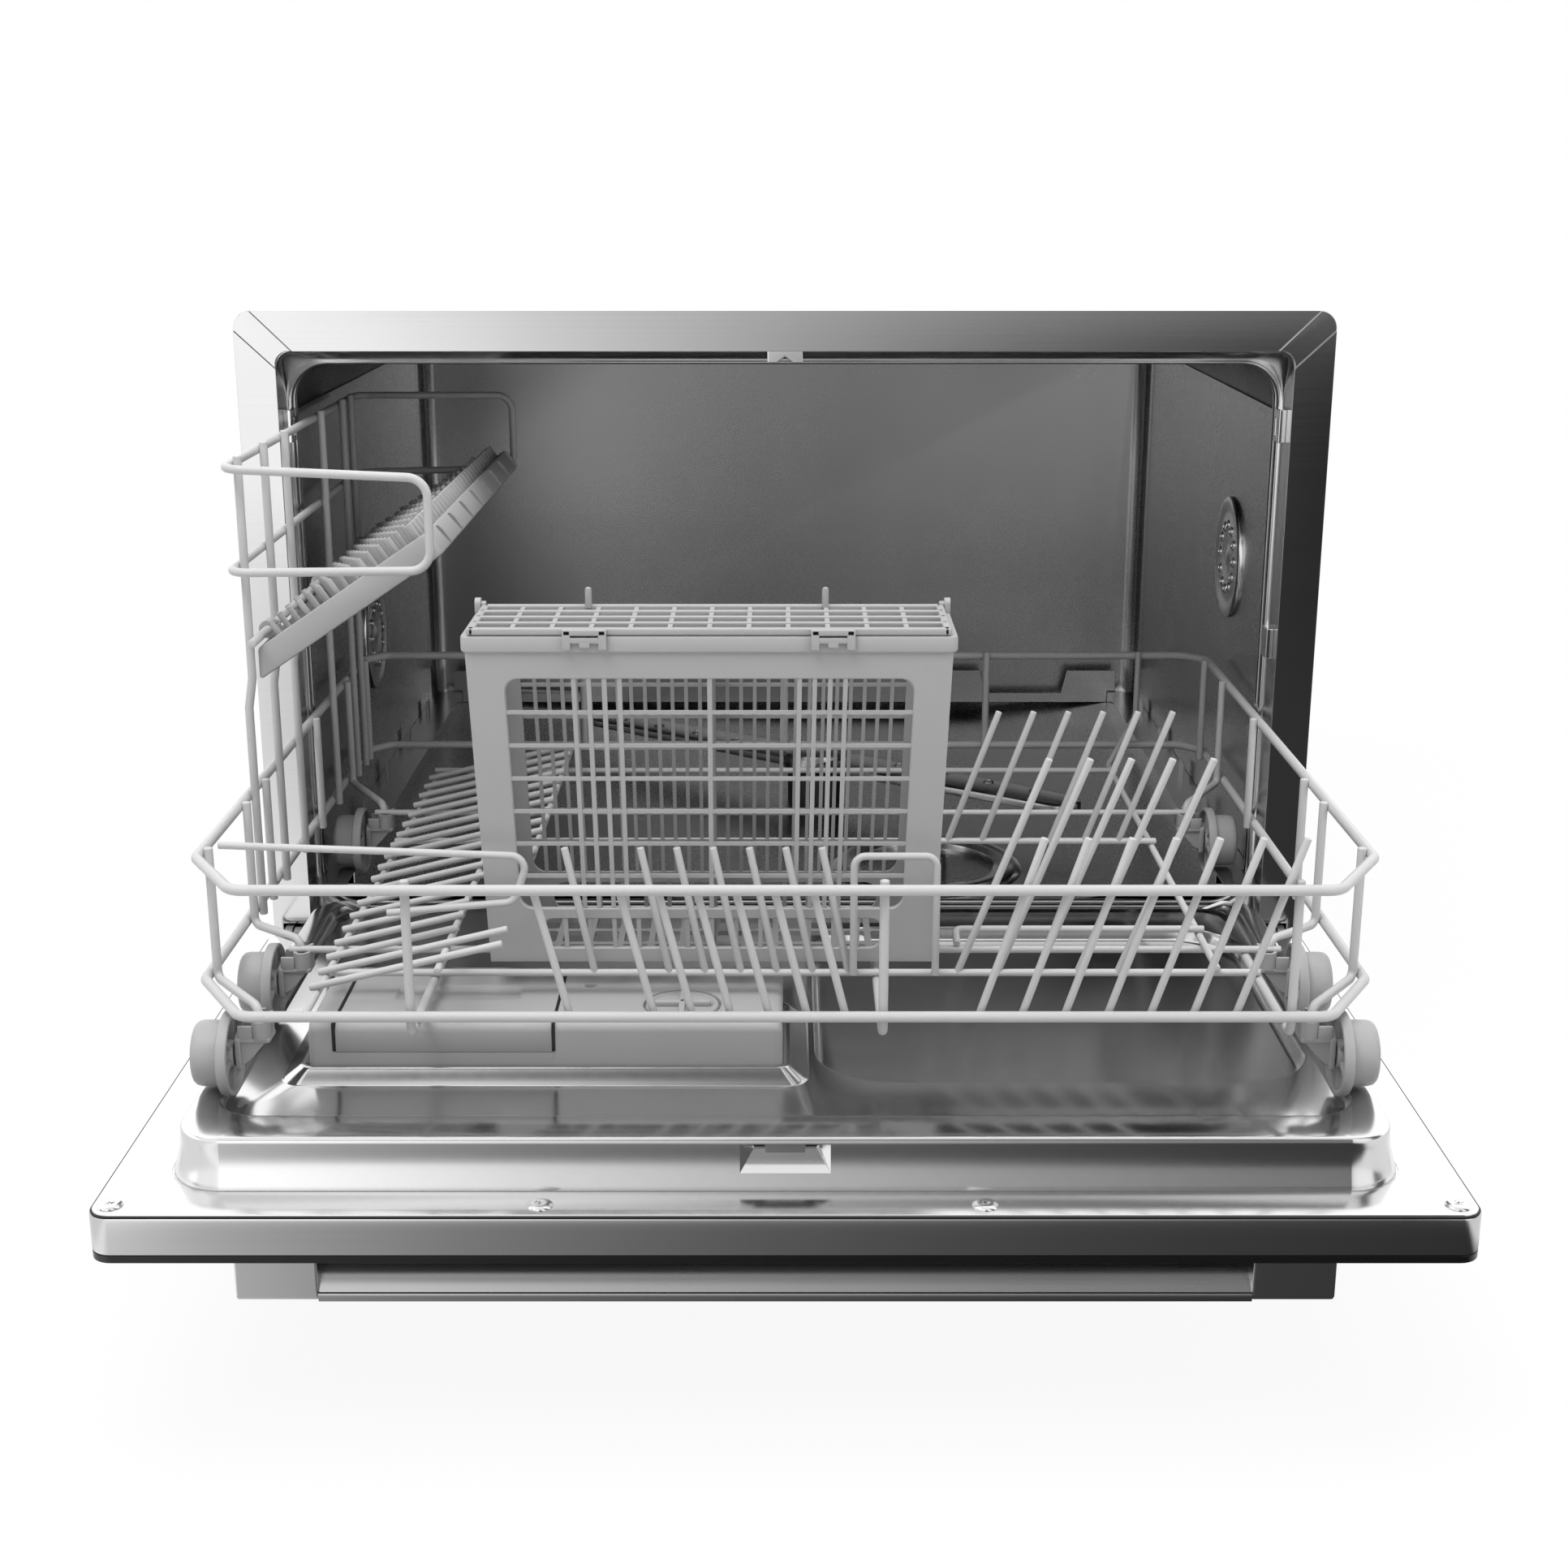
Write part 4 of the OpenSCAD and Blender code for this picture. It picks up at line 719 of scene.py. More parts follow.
# %% [markdown]
# ## The tub
# The tub is one deep-drawn box of satin steel. Its section has straight walls, a fold at the
# height of the side panels, and a floor that falls to a trough. The section is carried back,
# swells into an upright bead before the corner, and closes over a small fillet. The same
# section, one sheet further out, makes the outside.

# %% Tub shell
TUB_HALF, TUB_TOP, TUB_R, FLOOR_Z, TROUGH = 257.0, 412.0, 28.0, 126.0, 117.0


def section(g, swell=0.0):
    """Walls, corners and floor of the tub, moved inwards by g; swell moves only the side walls in."""
    half = TUB_HALF - g - swell
    t = np.radians(np.linspace(0, 90, 13))
    r, fold = TUB_R - g, TUB_TOP - TUB_R
    arc = np.column_stack([TUB_HALF - TUB_R - swell + r * np.cos(t), fold + r * np.sin(t)])
    right = [[half - 3, FLOOR_Z + g], [half, FLOOR_Z + g + 3], [half, 200.0], [half, 300.0], [half, fold - 2.4],
             [half - 1.3, fold - 1.6], [half - 1.3, fold + 0.4]]
    wall = np.concatenate([right, arc])
    floor = [[-236.0, FLOOR_Z + g]] + [[x, TROUGH + g] for x in (-2.0, 40.0, 124.0, 147.0)] + [[236.0, FLOOR_Z + g]]
    return np.concatenate([wall, wall[::-1] * (-1, 1), floor])


rows = stack(section, [
    (-1.0, 463.0), (-1.0, 34.0), (0.0, 34.0), (0.0, 50.0), (0.0, 134.0), (0.0, 419.0), ((0.0, 0.9), 421.5),
    ((0.0, 1.5), 424.0), ((0.0, 1.5), 431.0), ((0.0, 0.9), 433.5), (0.0, 436.0), (0.0, 453.0)])
rows += [(section(9.0 * (1 - math.cos(t))), 453.0 + 9.0 * math.sin(t)) for t in np.radians((20, 40, 60, 80, 90))]
tub = Batch()
skin(tub, rows, "y", flip=True)
HOLE, HOLE_R = (82.0, 92.0), 41.6
SQUARE = ((HOLE[0] - 42, HOLE[1] - 42), (HOLE[0] + 42, HOLE[1] + 42))  # the patch of floor round the hole
without(tub, lambda m: within(m, *SQUARE) & (m[:, 2] < 119))
ROUND = disc(HOLE, HOLE_R, 10)
for g, turn in ((0.0, False), (-1.0, True)):
    skin(tub, [(outline(*SQUARE, 0.02, 10), TROUGH + g), (ROUND, TROUGH + g)], "z", OPEN, flip=turn)
tub.piece("tub_shell", "cabinet", tub_steel, "tub_steel", "tub", angle=40)

# %% [markdown]
# ## The door's inner sheet
# The inside of the door is one deep pressing. From the flat flange its wall leans up to a
# narrow ledge that the rollers run on, drops into the pan, and drops again into a well on
# the right; on the left a sloping collar rises round the dispenser. Each of these is a
# closed outline at its own height, so the pressing is a stack of outlines, and a rounded
# edge is just a few extra outlines close together.

# %% Door pressing
FACE, LEDGE, PAN, WELL = 113.0, 134.2, 129.2, 122.2
PLUG_HALF, PLUG_FRONT, PLUG_END = 248.0, -307.0, -14.0
PAN_HALF, PAN_FRONT = 236.0, -283.0
POCKET = 18.2
DOOR = ((-HALF_W, -331.0), (HALF_W, -10.0))
STOPS_X = (-228.0, -100.0, -POCKET, POCKET, 100.0, 228.0)
STOPS_Y = (-240.0, -160.0, -80.0, -44.0)


def door_line(g):
    return inset(DOOR, g, 9 - g, 8, STOPS_X, STOPS_Y)


def plug_line(g):
    back = min(g, 0.6)
    return outline((-PLUG_HALF - g, PLUG_FRONT - g), (PLUG_HALF + g, PLUG_END + back), 21 + g, 8, STOPS_X, STOPS_Y)


def pan_line(g):
    return outline((-PAN_HALF - g, PAN_FRONT - g), (PAN_HALF + g, -18.6 + min(g, 0.5)), 20 + g, 8, STOPS_X, STOPS_Y)


def wall_lean(z):
    """The plug's wall is upright at its top, 1.2 mm in, and sweeps out to 2.3 mm at its foot: a parabola."""
    return 3.5 * ((131.6 - z) / 17.2) ** 2 - 1.2


rows = stack(door_line, [(2.4, 112.0), (1.4, 112.2), (1.15, 112.5), (1.25, 112.85), (1.6, FACE)])
rows += stack(plug_line, [(3.4, FACE), (3.3, 112.6), (2.5, 112.5), (2.35, 113.2), (2.2, 114.4)])
rows += [(plug_line(wall_lean(z)), z) for z in (116.0, 118.0, 119.8, 122.0, 124.5, 127.0, 129.5, 131.6)]
rows += stack(plug_line, [(-1.35, 132.6), (-1.7, 133.5), (-2.4, 134.05), (-3.4, LEDGE)])
rows += stack(pan_line, [(1.6, LEDGE), (0.7, 134.0), (0.15, 133.4), (0.0, 132.4), (-0.9, PAN + 1.9), (-1.3, PAN + 1.1),
                         (-2.2, PAN + 0.3), (-3.6, PAN), (-5.0, PAN - 0.4)])
grid = lift(rows)
open_end = (grid[..., 1] > -25) & (np.abs(grid[..., 0]) < 228.5)
grid[..., 2] = np.where(open_end, np.minimum(grid[..., 2], PAN + 0.9), grid[..., 2])
liner = Batch().grid(grid, wrap_cols=True)
without(liner, lambda m: (np.abs(m[:, 0]) < POCKET - 1) & (m[:, 1] < -300) & (m[:, 2] > 120) & (m[:, 2] < 131.5))

# The pan's floor: a left half round the dispenser's collar, a right half round the well
DISP_A, DISP_B = (-205.0, -237.0), (-1.0, -167.0)


def collar(g, f):
    """The collar spreads by g at its sides and by f in front and behind."""
    return outline((DISP_A[0] - g, DISP_A[1] - f), (DISP_B[0] + g - 0.5, DISP_B[1] + f), max(1.0, 2.5 + f), 8)


SPLIT = 11.8  # where the left half of the pan's floor meets the right half
skin(liner, [(outline((-233, -280), (SPLIT, -21), 0.02, 8), PAN)] + stack(collar, [
    ((12.2, 7.0), PAN), ((11.95, 6.8), PAN + 0.1), ((11.6, 6.55), PAN + 0.5), ((10.8, 6.1), PAN + 1.2),
    ((4.4, 3.2), 135.2), ((3.9, 2.95), 135.8), ((3.3, 2.6), 136.15), ((1.8, 1.6), 136.2), ((0.8, 0.8), 135.9),
    ((0.5, 0.5), 135.0), ((0.5, 0.5), 117.0)]), caps=OPEN)


def well_line(g):
    return outline((13.6 - g, -239 - g), (230 + g, -44 + g), 34 + g, 12)


skin(liner, [(outline((SPLIT, -280), (233, -21), 0.02, 12), PAN)] + stack(well_line, [
    (1.4, PAN), (0.6, PAN - 0.2), (0.1, PAN - 0.9), (-0.5, PAN - 2.2), (-1.6, WELL + 1.4), (-2.4, WELL + 0.4),
    (-4.0, WELL)]), caps=FLOORED)

# %% Roller stops: a punched slot with its tongue pushed up
STOP_X, STOP_W = 226.5, 8.0
stops = Batch()
for side in (1.0, -1.0):
    x0, x1 = sorted((side * STOP_X, side * (STOP_X + STOP_W)))
    slab(stops, (x0, -281.0, PAN - 0.4), (x1, -266.0, PAN + 0.25), 2.0, 0.1)
stops.piece("roller_stop_slots", "door", dark, "dark_plastic")
lips = Batch()
t = np.linspace(0, 1, 9)
flat, high = np.full(9, PAN + 0.1), PAN + 0.1 + 4.0 * np.sin(math.pi * t) ** 0.8
for side in (1.0, -1.0):
    x = side * (STOP_X + STOP_W * t)
    edges = ((-281.6, flat), (-281.4, high), (-280.6, high), (-279.8, flat))
    lips.grid(np.stack([np.column_stack([x, np.full(9, y), z]) for y, z in edges]), True, False, side < 0)
lips.piece("roller_stop_lips", "door", door_steel, "stainless")
liner.piece("door_pressing", "door", door_steel, "stainless", "door_liner", angle=38)

# %% [markdown]
# ## Latch pocket, door edge and screws
# The latch reaches out through a tapered pocket in the pressing's front wall: a small
# polished funnel with a dark slot at its back. Round the door runs a brushed edge band, and
# between band and inner sheet a thin black gasket shows as a line.

# %% Pocket, band, gasket, screws
FUNNEL = ((POCKET, 119.8, 131.6, 0.0), (12.8, 126.4, 131.2, -298.5), (12.6, 127.0, 130.6, -298.0),
          (12.4, 127.0, 130.6, -294.0))  # half width, bottom, top, depth; the first depth is the leaning wall's
pocket = Batch()
funnel = lift([(oblong(x, -x, z1, z0), y) for x, z0, z1, y in FUNNEL], "y")
funnel[0, :, 1] = PLUG_FRONT - wall_lean(funnel[0, :, 2]) + 0.02
pocket.grid(funnel, wrap_cols=True, cap_end=True)
pocket.piece("latch_funnel", "door", polished, "bright_steel", smooth=False)
slot = Batch()
for x0, x1 in ((-12.2, -8.6), (8.6, 12.2)):
    slab(slot, (x0, -296.2, 127.1), (x1, -294.4, 130.5), 0.6, 0.2, "y")
slot.piece("latch_slot", "door", dark, "dark_plastic")

band = Batch()
skin(band, stack(door_line, [(0.9, 95.5), (0.3, 95.65), (0.0, 96.2), (0.0, 110.9), (0.25, 111.6), (0.8, 111.8),
                             (1.5, 111.8), (1.5, 97.0)]))
band.piece("door_edge_band", "door", band_steel, "stainless", "door_panel", angle=50)
gasket = Batch()
skin(gasket, stack(door_line, [(2.6, 111.85), (0.55, 111.85), (0.3, 112.0), (0.4, 112.3), (1.0, 112.45),
                               (2.6, 112.45)]), "z", OPEN, ring=True)
gasket.piece("door_gasket", "door", rubber, "seal_rubber")
softened("door_outer_panel", "door_front_panel", "door", gloss_black, 0.7, segments=3)

SCREW_Y = -322.0
HEAD = [(1.75, 106.0), (1.75, 113.0), (5.1, 113.02), (5.2, 113.3), (4.9, 113.7), (4.0, 114.2), (2.4, 114.45),
        (1.4, 114.3), (0.4, 114.1)]
screws = Batch()
for x in (-267.0, -97.0, 79.0, 266.0):
    turned(screws, HEAD, (x, SCREW_Y), sides=24)
    for turn in (0.4, math.pi / 2 + 0.4):
        bar = blade(turn, -2.3, 2.3, 0.4, (x, SCREW_Y))
        skin(screws, [(bar, 114.0), (bar, 114.5)])
screws.piece("door_screw_heads", "door", polished, "bright_steel", "door_screws", angle=30)

# %% [markdown]
# ## Handle, hinges and buttons
# The handle is a folded steel channel between two end caps. It is drawn from its own
# section, so that the curve under the grip stays smooth. The caps and the small folded parts
# already have their true section in the solids, so they only get eased edges here.

# %% Handle channel, and parts with eased edges
GRIP_BACK, GRIP_FRONT, GRIP_TOP, GRIP_LOW = -304.0, -326.0, 92.5, 72.5
t = np.linspace(1, 0, 15)
slope = np.column_stack([1.5 + 6.0 * t + 8.0 * t * t, 3.8 + 16.2 * t])
folded = [[0.9, 3.9], [0.25, 3.7], [0.0, 3.2], [0.0, 0.9], [0.3, 0.2], [1.0, 0.0], [8.1, 0.0]]
channel = np.concatenate([[[GRIP_BACK, GRIP_TOP]], np.concatenate([slope, folded]) + (GRIP_FRONT, GRIP_LOW),
                          [[GRIP_BACK - 7.0, GRIP_LOW + 13.5]]])[::-1]
grip = Batch()
skin(grip, [(channel, -186.0), (channel, 186.0)], "x")
grip.piece("handle_channel", "door", handle_steel, "stainless", "door_handle", angle=40)
softened("handle_end_caps", "handle_caps", "door", polished_soft, 1.0, segments=3)
softened("hinge_arms_eased", "hinge_arms", "door", zinc, 0.4)
softened("control_strip_eased", "control_strip", "door", gloss_black, 0.25)
softened("latch_bolt_eased", "latch_bolt", "latch", zinc, 0.4)

# %% [markdown]
# ## The dispenser
# The dispenser is a grey moulding with soft edges. Its section is a block with rounded top
# corners, carried from left to right; where the sliding lid sits, the section is lower. The
# detergent cup and the round rinse aid recess are cut out of its top and lined.

# %% Dispenser body
D_FRONT, D_BACK, D_TOP, D_LOW = DISP_A[1], DISP_B[1], 155.0, 117.0
LID_L, LID_R = -193.4, -99.6
CUP = ((-189.0, -231.0), (-104.0, -173.0))
CAP, CAP_CELL = (-45.0, -214.0), ((-63.0, -232.0), (-27.0, -196.0))
SIGHT, SIGHT_CELL = (-87.0, -192.0), ((-91.0, -195.0), (-83.0, -189.0))  # the small round hollow beside the lid


def body_line(top, g=0.0):
    """The dispenser's section across its depth, with a draught on its front and round top edges."""
    r = 4.0
    t = np.radians(np.linspace(0, 90, 7))
    back = np.column_stack([D_BACK - g - r + r * np.cos(t), top - g - r + r * np.sin(t)])
    front = np.column_stack([D_FRONT + 0.4 + g + r - r * np.cos(t[::-1]), top - g - r + r * np.sin(t[::-1])])
    sides = ((CUP, 1), (SIGHT_CELL, 1), (SIGHT_CELL, 0), (CAP_CELL, 1), (CUP, 0), (CAP_CELL, 0))
    stops = [[cell[k][1], top - g] for cell, k in sides]
    foot = [[D_FRONT + 0.2 + g, 140.0], [D_FRONT + g, 137.6], [D_FRONT + g, D_LOW]]
    return np.concatenate([[[D_BACK - g, D_LOW]], back, stops, front, foot])


def seat_line():
    """Under the lid the section is 3 mm lower, and its front stands 2.4 mm back over the lip's height."""
    line = body_line(D_TOP - 3.0)
    line[:, 0] = np.where(line[:, 1] > 140.5, np.maximum(line[:, 0], D_FRONT + 2.4), line[:, 0])
    line[-3:-1] = (D_FRONT + 2.4, 141.85), (D_FRONT, 141.8)
    return line


ends = [(-205.0, 3.0), (-204.6, 1.9), (-203.8, 0.9), (-202.6, 0.3), (-201.0, 0.0)]
rows = [(body_line(D_TOP, g), x) for x, g in ends + [(LID_L, 0.0)]]
rows += [(seat_line(), x) for x in (LID_L, CUP[0][0], CUP[1][0], LID_R)]
rows += [(body_line(D_TOP), x) for x in (LID_R, *(corner[0] for corner in SIGHT_CELL + CAP_CELL), -5.0)]
rows += [(body_line(D_TOP, g), DISP_A[0] + DISP_B[0] - x) for x, g in ends[::-1]]
dispenser = Batch()
skin(dispenser, rows, "x")
for cell in (CUP, CAP_CELL, SIGHT_CELL):
    without(dispenser, lambda m: (m[:, 2] > D_TOP - 3.5) & within(m, *cell))
skin(dispenser, [(inset(CUP, g, r), z) for g, r, z in (
    (0.0, 0.02, D_TOP - 3.0), (0.6, 3.0, D_TOP - 3.0), (1.1, 3.0, D_TOP - 3.5), (2.6, 3.0, 131.0), (4.6, 3.0, 128.6),
    (8.0, 3.0, 128.0))], caps=FLOORED)
for cell, at, steps in ((CAP_CELL, CAP, ((17.6, 0.0), (17.2, -0.3), (16.9, -2.4))),
                        (SIGHT_CELL, SIGHT, ((2.9, 0.0), (2.5, -0.6), (2.4, -4.0)))):
    skin(dispenser, [(outline(*cell, 0.02), D_TOP)] + [(disc(at, r), D_TOP + h) for r, h in steps], caps=FLOORED)
gaps = Batch()
for x in (LID_L - 0.95, LID_R - 0.35):
    slab(gaps, (x, D_FRONT - 0.1, 142.4), (x + 1.3, -232.0, D_TOP + 0.1), 0.2, 0.05)
    slab(gaps, (x, -232.0, D_TOP - 2.0), (x + 1.3, -172.0, D_TOP + 0.12), 0.2, 0.05)
gaps.piece("lid_gaps", "door", rubber, "seal_rubber")
dispenser.piece("dispenser_case", "door", grey, "grey_plastic", "dispenser_body", angle=40)

# %% Detergent lid and rinse aid cap
LX0, LX1, LY1 = -193.0, -100.0, -169.4
PULL = ((-173.0, -210.0), (-116.0, -191.0))  # the shallow recess that a finger pulls at


def lid_line(g=0.0):
    """The lid's section: a thin top with a rounded front corner that turns down into a lip."""
    t = np.radians(np.linspace(90, 0, 7))
    r, top = 4.0, D_TOP - g
    nose = np.column_stack([D_FRONT + 0.2 + g + r - r * np.cos(t), top - r + r * np.sin(t)])
    rear = [[LY1 - g, 152.3], [LY1 - g, top - 0.6], [LY1 - 0.6 - g, top]]
    flat = [[y, top] for y in (-187.0, PULL[1][1], PULL[0][1], -214.0)]
    lip = [[D_FRONT + g, 142.4], [D_FRONT + 0.2 + g, 142.0], [D_FRONT + 1.8, 142.0], [D_FRONT + 2.1, 142.3],
           [D_FRONT + 2.1, 152.3]]
    return np.concatenate([rear, flat, nose, lip])


lid = Batch()
ends = [(0.5, 0.0), (0.15, 0.15), (0.0, 0.5)]  # how an end is rounded: how far in, how far along
skin(lid, [(lid_line(g), LX0 + x) for g, x in ends] + [(lid_line(), PULL[k][0]) for k in range(2)] +
     [(lid_line(g), LX1 - x) for g, x in ends[::-1]], "x")
without(lid, lambda m: (m[:, 2] > D_TOP - 0.1) & within(m, *PULL))
steps = ((0.0, 0.02, 0.0), (0.5, 3.5, 0.0), (1.0, 3.2, -0.3), (1.6, 3.0, -1.1), (2.6, 2.6, -1.5))
skin(lid, [(inset(PULL, g, r, 6), D_TOP + h) for g, r, h in steps], caps=FLOORED)
lid.piece("detergent_lid_dressed", "detergent_lid_body", grey, "grey_plastic", "detergent_lid", angle=40)

cap = Batch()
steps = ((16.0, -2.3), (16.0, -0.5), (15.6, 0.0), (15.0, 0.15), (14.0, 0.1), (13.6, -0.5), (13.2, -0.8), (3.4, -0.8))
turned(cap, raised(steps, D_TOP), CAP)
for a, b in ((12.6, 1.4), (1.4, 12.6)):
    slab(cap, (CAP[0] - a, CAP[1] - b, D_TOP - 1.0), (CAP[0] + a, CAP[1] + b, D_TOP + 1.7), 1.3, 0.7)
cap.piece("rinse_cap_dressed", "rinse_cap_body", grey, "grey_plastic", "rinse_cap", angle=40)
for name in ("power", "program", "start"):
    softened(name + "_button_dressed", name + "_button", name + "_body", grey, 0.8, segments=3)

# %% [markdown]
# ## Rollers and their clips
# A roller is a turned part: a drum that runs on the ledge, and a thin flange that guides it,
# hollow on the inside with spokes. The clip is a small upright plate by the flange, an arm,
# and two C-shaped jaws that snap on the post's end.

# %% Rollers
ROLLER = [
    (2.56, 231.2), (5.6, 231.2), (5.9, 231.6), (6.2, 234.0), (14.8, 234.0), (15.4, 233.6), (15.9, 231.5),
    (16.4, 231.05), (17.4, 231.05), (17.9, 231.4), (18.0, 232.0), (18.0, 234.9), (17.8, 235.4), (17.2, 235.7),
    (14.3, 235.7), (14.0, 236.1), (13.9, 244.4), (13.5, 246.2), (12.6, 247.2), (11.6, 247.45), (11.2, 247.2),
    (10.9, 245.9), (5.4, 245.7), (4.9, 246.6), (2.56, 246.6)]


def mirror_batch(batch):
    """Adds the mirror image: x becomes -x and every face is turned round."""
    p, faces, n = np.concatenate(batch.points), list(batch.faces), batch.count
    batch.points.append(p * (-1, 1, 1))
    batch.faces += [[i + n for i in f][::-1] for f in faces]
    batch.count += n


for name, y in zip(("front", "middle", "rear"), ROLLER_Y):
    pair = Batch()
    turned(pair, ROLLER, (y, ROLLER_Z), "x", 56, OPEN, True)
    for a in np.radians(np.arange(6) * 60.0 + 20.0):
        spoke = blade(a, 5.8, 15.6, 0.7, (y, ROLLER_Z))
        skin(pair, [(spoke, 231.9), (spoke, 234.1)], "x")
    mirror_batch(pair)
    pair.piece(name + "_rollers_dressed", name + "_wheels", soft_grey, "grey_plastic", name + "_rollers", angle=35)


# %% Roller clips
JAW_X, JAW_LOW, JAW_R, JAW_WALL, JAW_GAP, JAW_TURN = 219.4, 156.6, 2.5, 1.5, 80.0, 130.0


def jaw(batch, y, top):
    """A C seen from above: an arc round the post, open by the gap angle towards the turn angle."""
    t = np.radians(np.linspace(JAW_GAP / 2, 360 - JAW_GAP / 2, 25) + JAW_TURN)
    ring = np.column_stack([np.cos(t), np.sin(t)])
    line = np.concatenate([ring * (JAW_R + JAW_WALL), (ring * JAW_R)[::-1]]) + (JAW_X, y)
    skin(batch, [(line, JAW_LOW), (line, top)])


clips = Batch()
for y in ROLLER_Y:
    slab(clips, (227.9, y - 5.0, 142.5), (230.3, y + 5.0, 158.0), 2.0, 0.4, "x")
    slab(clips, (215.4, y - 4.6, 155.2), (229.0, y + 7.6, 157.0), 1.6, 0.4)
    for along, top in ((-1.4, 164.6), (4.6, 166.0)):
        jaw(clips, y + along, top)
    for along in (-4.6, 5.6):
        slab(clips, (222.6, y + along, JAW_LOW), (228.8, y + along + 1.6, 162.6), 0.6, 0.3)
    gusset = np.array([[217.4, 155.4], [228.4, 155.4], [228.4, 145.0], [225.4, 146.4], [220.6, 151.6]])[::-1]
    skin(clips, [(gusset, y - 3.6), (gusset, y - 2.2)], "y", flip=True)
    axle = [(2.5, 229.0), (2.5, 247.6), (3.7, 247.7), (3.9, 248.1), (3.6, 248.8), (2.4, 249.1)]
    turned(clips, axle, (y, ROLLER_Z), "x", 24)
mirror_batch(clips)
clips.piece("roller_clips", "rack", soft_grey, "grey_plastic", "roller_brackets", angle=35)

# %% [markdown]
# ## The cup shelf
# The fold-up shelf is a shallow moulded tray with a rounded rim, rows of long slots in its
# floor and two sorts of pegs: tall ones in the middle and a comb along the free edge. It is
# drawn flat, then turned about its wire by the tilt.

# %% Shelf
TILT = math.radians(34.0)


def tilted(batch):
    """Turns the flat drawing about the wire: x' = x cos a - z sin a, z' = x sin a + z cos a, then moves it there."""
    c, s = math.cos(TILT), math.sin(TILT)
    batch.points = [np.column_stack([SHELF_X + p[:, 0] * c - p[:, 2] * s, p[:, 1], SHELF_Z + p[:, 0] * s + p[:, 2] * c])
                    for p in batch.points]
    return batch


def slotted(batch, xs, ys, z0, z1, hole, r=1.6):
    """A plate with a rounded slot in every cell of a grid: each cell's square runs into its slot on
    both faces, and the slot's wall joins them."""
    for x0, x1 in zip(xs[:-1], xs[1:]):
        for y0, y1 in zip(ys[:-1], ys[1:]):
            cell = outline((x0, y0), (x1, y1), 0.02, 2)
            gap = outline((x0 + hole[0], y0 + hole[1]), (x1 - hole[0], y1 - hole[1]), r, 2)
            skin(batch, [(cell, z1), (gap, z1), (gap, z0), (cell, z0)], caps=OPEN)


S_FRONT, S_BACK, S_RIGHT, S_LOW = -136.0, 150.0, 93.0, -16.0
shelf = Batch()


def shelf_left(z):
    """The left side stays upright beside the posts once the shelf is tilted: x = (z sin a - 0.8) / cos a."""
    return (z * math.sin(TILT) - 0.8) / math.cos(TILT)


def rim_line(g, z):
    return inset(((shelf_left(z), S_FRONT), (S_RIGHT, S_BACK)), g, 4 - g * 0.6, 4), z


skin(shelf, [rim_line(g, z) for g, z in (
    (2.4, S_LOW + 2.6), (2.4, -4.6), (1.9, -3.8), (1.2, -3.6), (0.4, -3.8), (0.0, -4.6), (0.0, S_LOW + 1.6),
    (0.4, S_LOW + 0.6), (1.4, S_LOW + 0.1))], caps=OPEN, flip=True)
slotted(shelf, np.linspace(-9.0, 91.8, 7), np.linspace(-135.0, 149.0, 16), S_LOW + 0.1, S_LOW + 2.6, (2.4, 1.8))
for y in np.arange(-127.0, 147.0, 9.1):
    slab(shelf, (83.5, y - 1.5, S_LOW + 2.4), (87.5, y + 1.5, 3.4), 1.2, 0.5, steps=2)
for k, x in enumerate(np.arange(8.0, 80.0, 8.4)):
    for y in np.arange(-130.0 + 9.0 * (k % 2), 146.0, 18.2):
        slab(shelf, (x - 1.3, y - 1.5, S_LOW + 2.4), (x + 1.3, y + 1.5, 3.6), 1.0, 0.5, steps=2)
rib = np.array([[92.4, -4.2], [94.2, -5.0], [94.4, -8.0], [93.8, S_LOW + 1.4], [92.4, S_LOW + 1.0]])
for y in np.arange(-117.0, 150.0, 36.4):
    shelf.grid(np.stack([np.column_stack([rib[:, 0], y + w - 0.55 * rib[:, 1], rib[:, 1]]) for w in (0.0, 1.6)]),
               False, True, True, True, True)
for y in (-115.0, 0.0, 108.0):
    knuckle = [(2.06, y), (4.0, y), (4.3, y + 0.4), (4.3, y + 7.6), (4.0, y + 8.0), (2.06, y + 8.0)]
    turned(shelf, knuckle, (0.0, 0.0), "y", 24, OPEN, True)
    slab(shelf, (1.6, y + 0.4, S_LOW + 1.0), (4.6, y + 7.6, -0.6), 0.8, 0.3, steps=2)
tilted(shelf).piece("cup_shelf_dressed", "shelf", grey, "grey_plastic", "cup_shelf", angle=35)

# %% [markdown]
# ## The cutlery basket
# The basket has four walls with a draught, a thick band at its mouth, and windows filled with
# a fine grid. A window is made like the real one: a frame that runs from the wall's outline
# into a rounded opening, and thin bars across it. The lid is slats and ribs between two
# long rails, with two clips in front and two pegs on top.

# %% Basket
BX0, BX1, BY0, BY1, BZ0, BZ1 = -139.0, 74.0, -193.5, -140.5, 166.95, 314.95


def lean_in(x, z):
    """The side walls lean: at the bottom they stand 8 mm in, at the band 2 mm."""
    mid = (BX0 + BX1) / 2
    s = np.clip((z - BZ0) / (BZ1 - 7 - BZ0), 0, 1)
    half = (BX1 - BX0) / 2
    return mid + (x - mid) * (half - 8 + 6 * s) / (half - 2)


def wall_skin(batch, rows, axis="y", caps=(True, True), flip=False, ring=False):
    """A skin that takes the lean of the side walls."""
    p = lift(rows, axis)
    p[..., 0] = lean_in(p[..., 0], p[..., 2])
    batch.grid(p, ring, True, flip != (axis == "y"), *caps)


